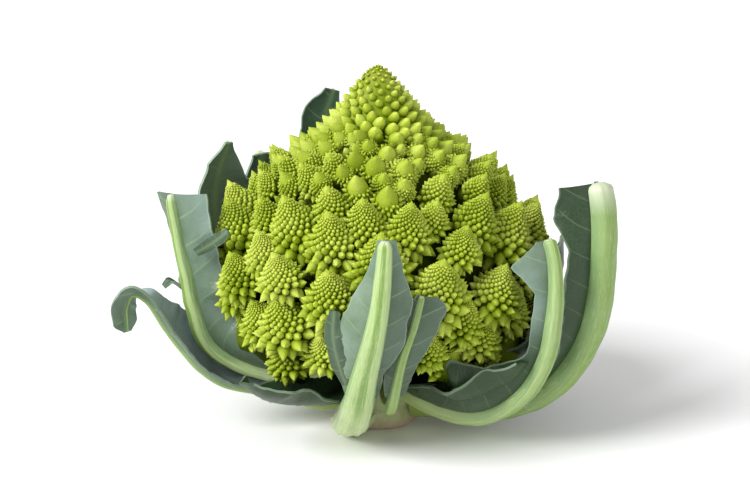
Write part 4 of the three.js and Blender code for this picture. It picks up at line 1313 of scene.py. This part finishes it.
class ROMANESCO_OT_ribs(bpy.types.Operator):
    """Makes the leaves' ribs: fluted stems, flat on the inside, cut off at the tip"""

    bl_idname = "romanesco.ribs"
    bl_label = "Leaf Ribs"

    def execute(self, context):
        settings = context.scene.romanesco_leaf
        finish = finish_named("rib", rib_finish, settings)
        for number, (name, leaf) in enumerate(LEAVES.items()):
            self.make_rib(name, leaf, finish, np.random.default_rng(RIBS_SEED + number))
        return {"FINISHED"}

    def make_rib(self, name, leaf, finish, dice):
        """Shapes one rib from outside the stalk to its cut end, and marks its grain."""
        last = len(leaf["rows"]) - 1
        near = np.linspace(0, 1.5, 151)
        outside = np.hypot(*rib_line(leaf, near)[:, :2].T) > STALK_RADIUS
        begin = near[np.argmax(outside)]
        rows = int((last - begin) * RIB_STEPS)
        stops = np.linspace(begin, last, rows + 1)
        side, rise = rib_section(RIB_COLUMNS)
        half = row_value(leaf, stops, RIB)[:, None] / 2
        along = distance_along(rib_line(leaf, stops))
        swell = 1 + 0.03 * np.sin(along * 0.16 + dice.uniform(0, 6)) + 0.015 * np.sin(along * 0.47)
        depth = 2 * half * leaf["rib_depth"] * swell[:, None]
        round_end = 0.22
        narrowed = leaf.get("slim", 1.0) * np.ones((len(stops), 1))
        narrowed *= np.sqrt(1 - 0.75 * np.clip((stops - last + round_end) / round_end, 0, 1)[:, None] ** 2)
        narrowed *= np.clip(1 - 0.35 * (stops - leaf.get("rib_fades", last)), 0.12, 1)[:, None]
        half, depth = half * narrowed, depth * narrowed
        points = leaf_points(leaf, stops, side[None] * half, rise[None] * (depth + 1.2)) * MM
        tube, column, row = grid_start(f"{name}_leaf_rib", RIB_COLUMNS, rows)
        mesh = tube.data
        mesh.vertices.foreach_set("co", points[row, column].ravel())
        cut = np.clip((stops - leaf.get("cut_from", last - 0.1)) * (1 if "cut_from" in leaf else 9), 0, 0.8)
        set_marks(mesh, across=side[column], along=along[row], pale=np.full(len(row), float(leaf["pale"])),
                  cut=cut[row])
        bpy.ops.object.mode_set(mode="EDIT")
        close_shape(fill_ends=True)
        bpy.ops.object.shade_smooth_by_angle(angle=math.radians(55))
        settle(tube, finish, "midrib", f"{name}_midrib")


class ROMANESCO_OT_stalk(bpy.types.Operator):
    """Makes the cut stalk with the rings that old leaves leave"""

    bl_idname = "romanesco.stalk"
    bl_label = "Stalk"

    def execute(self, context):
        stalk = turned_shape("cut_stalk", 48, STALK_OUTLINE, pointed=False)
        mesh = stalk.data
        points = mesh_points(mesh)
        angle = np.arctan2(points[:, 1], points[:, 0])
        uneven = 1 + 0.012 * np.sin(5 * angle + points[:, 2] * 0.2) + 0.006 * np.sin(13 * angle)
        points[:, :2] *= uneven[:, None]
        mesh.vertices.foreach_set("co", (points * MM).ravel())
        clear_selection()
        stalk.select_set(True)
        context.view_layer.objects.active = stalk
        bpy.ops.object.shade_smooth_by_angle(angle=math.radians(40))
        settle(stalk, finish_named("stalk", stalk_finish, context.scene.romanesco_stalk), "stalk", "stalk")
        return {"FINISHED"}


# The stage, in metres: the floor's breadth, where the lights stand and what they aim at, and in degrees how
# wide a light looks from the head.
FLOOR_SIZE = 8
KEY_PLACE = (-1.9, -1.25, 1.7)
FILL_PLACE = (0.95, -0.7, 0.55)
LIGHT_AIM = (0, 0, 0.08)
LIGHT_SPREAD = 34


class ROMANESCO_OT_stage(bpy.types.Operator):
    """Makes the pale floor, the soft lights and the camera"""

    bl_idname = "romanesco.stage"
    bl_label = "Stage"

    def execute(self, context):
        settings = context.scene.romanesco_stage
        clear_selection()
        bpy.ops.mesh.primitive_plane_add(size=FLOOR_SIZE, location=(0, 0, 0))
        floor = context.object
        floor.name = "pale_floor"
        floor.data.materials.append(floor_finish(settings))
        world = bpy.data.worlds.new("soft_studio")
        world.use_nodes = True
        sky = world.node_tree.nodes["Background"]
        sky.inputs["Color"].default_value = (1, 1, 1, 1)
        sky.inputs["Strength"].default_value = settings.sky
        context.scene.world = world
        self.soft_light("key_light", settings.key_strength, KEY_PLACE)
        self.soft_light("fill_light", settings.fill_strength, FILL_PLACE)
        self.aim_camera(context, settings)
        return {"FINISHED"}

    def soft_light(self, name, strength, place):
        """Adds a wide soft light that shines from the place on the head."""
        light = bpy.data.lights.new(name, "SUN")
        light.energy = strength
        light.angle = math.radians(LIGHT_SPREAD)
        lamp = bpy.data.objects.new(name, light)
        lamp.location = place
        lamp.rotation_euler = (Vector(LIGHT_AIM) - Vector(place)).to_track_quat("-Z", "Y").to_euler()
        bpy.context.collection.objects.link(lamp)

    def aim_camera(self, context, settings):
        """Sets the camera where the photographer stood, with a small shift in shares of the picture."""
        camera = bpy.data.cameras.new("camera")
        camera.lens = settings.lens / MM
        camera.sensor_width = 36
        camera.shift_x = -3 / PICTURE_WIDTH
        camera.shift_y = 7 / PICTURE_WIDTH
        camera.clip_end = 20
        holder = bpy.data.objects.new("camera", camera)
        aim = Vector((0, 0, EYE_AIM * MM))
        back = Vector((0, -math.cos(EYE_RISE), math.sin(EYE_RISE))) * EYE_DISTANCE * MM
        holder.location = aim + back
        holder.rotation_euler = (-back).to_track_quat("-Z", "Y").to_euler()
        context.collection.objects.link(holder)
        context.scene.camera = holder


STEPS = (
    ROMANESCO_OT_core,
    ROMANESCO_OT_crown_tip,
    ROMANESCO_OT_florets,
    ROMANESCO_OT_blades,
    ROMANESCO_OT_ribs,
    ROMANESCO_OT_stalk,
    ROMANESCO_OT_stage,
)


GROUPS = ("romanesco_curd", "romanesco_leaf", "romanesco_stalk", "romanesco_stage")


class ROMANESCO_PT_sidebar(bpy.types.Panel):
    """The romanesco head's settings and steps"""

    bl_label = "Romanesco Head"
    bl_idname = "ROMANESCO_PT_sidebar"
    bl_space_type = "VIEW_3D"
    bl_region_type = "UI"
    bl_category = "Romanesco"

    def draw(self, context):
        for group in GROUPS:
            settings = getattr(context.scene, group)
            box = self.layout.box()
            for setting in settings.__annotations__:
                box.prop(settings, setting)
        for step in STEPS:
            self.layout.operator(step.bl_idname)


CLASSES = (CurdSettings, LeafSettings, StalkSettings, StageSettings, *STEPS, ROMANESCO_PT_sidebar)


def register():
    """Adds the classes and the scene's settings."""
    for cls in CLASSES:
        bpy.utils.register_class(cls)
    bpy.types.Scene.romanesco_curd = bpy.props.PointerProperty(type=CurdSettings)
    bpy.types.Scene.romanesco_leaf = bpy.props.PointerProperty(type=LeafSettings)
    bpy.types.Scene.romanesco_stalk = bpy.props.PointerProperty(type=StalkSettings)
    bpy.types.Scene.romanesco_stage = bpy.props.PointerProperty(type=StageSettings)


def unregister():
    """Takes the settings and the classes away."""
    for group in GROUPS:
        delattr(bpy.types.Scene, group)
    for cls in reversed(CLASSES):
        bpy.utils.unregister_class(cls)


def main():
    """Builds everything in order."""
    register()
    bpy.ops.romanesco.core()
    bpy.ops.romanesco.crown_tip()
    bpy.ops.romanesco.florets()
    bpy.ops.romanesco.blades()
    bpy.ops.romanesco.ribs()
    bpy.ops.romanesco.stalk()
    bpy.ops.romanesco.stage()
    bpy.context.scene.view_settings.view_transform = "Standard"


if __name__ == "__main__":
    main()
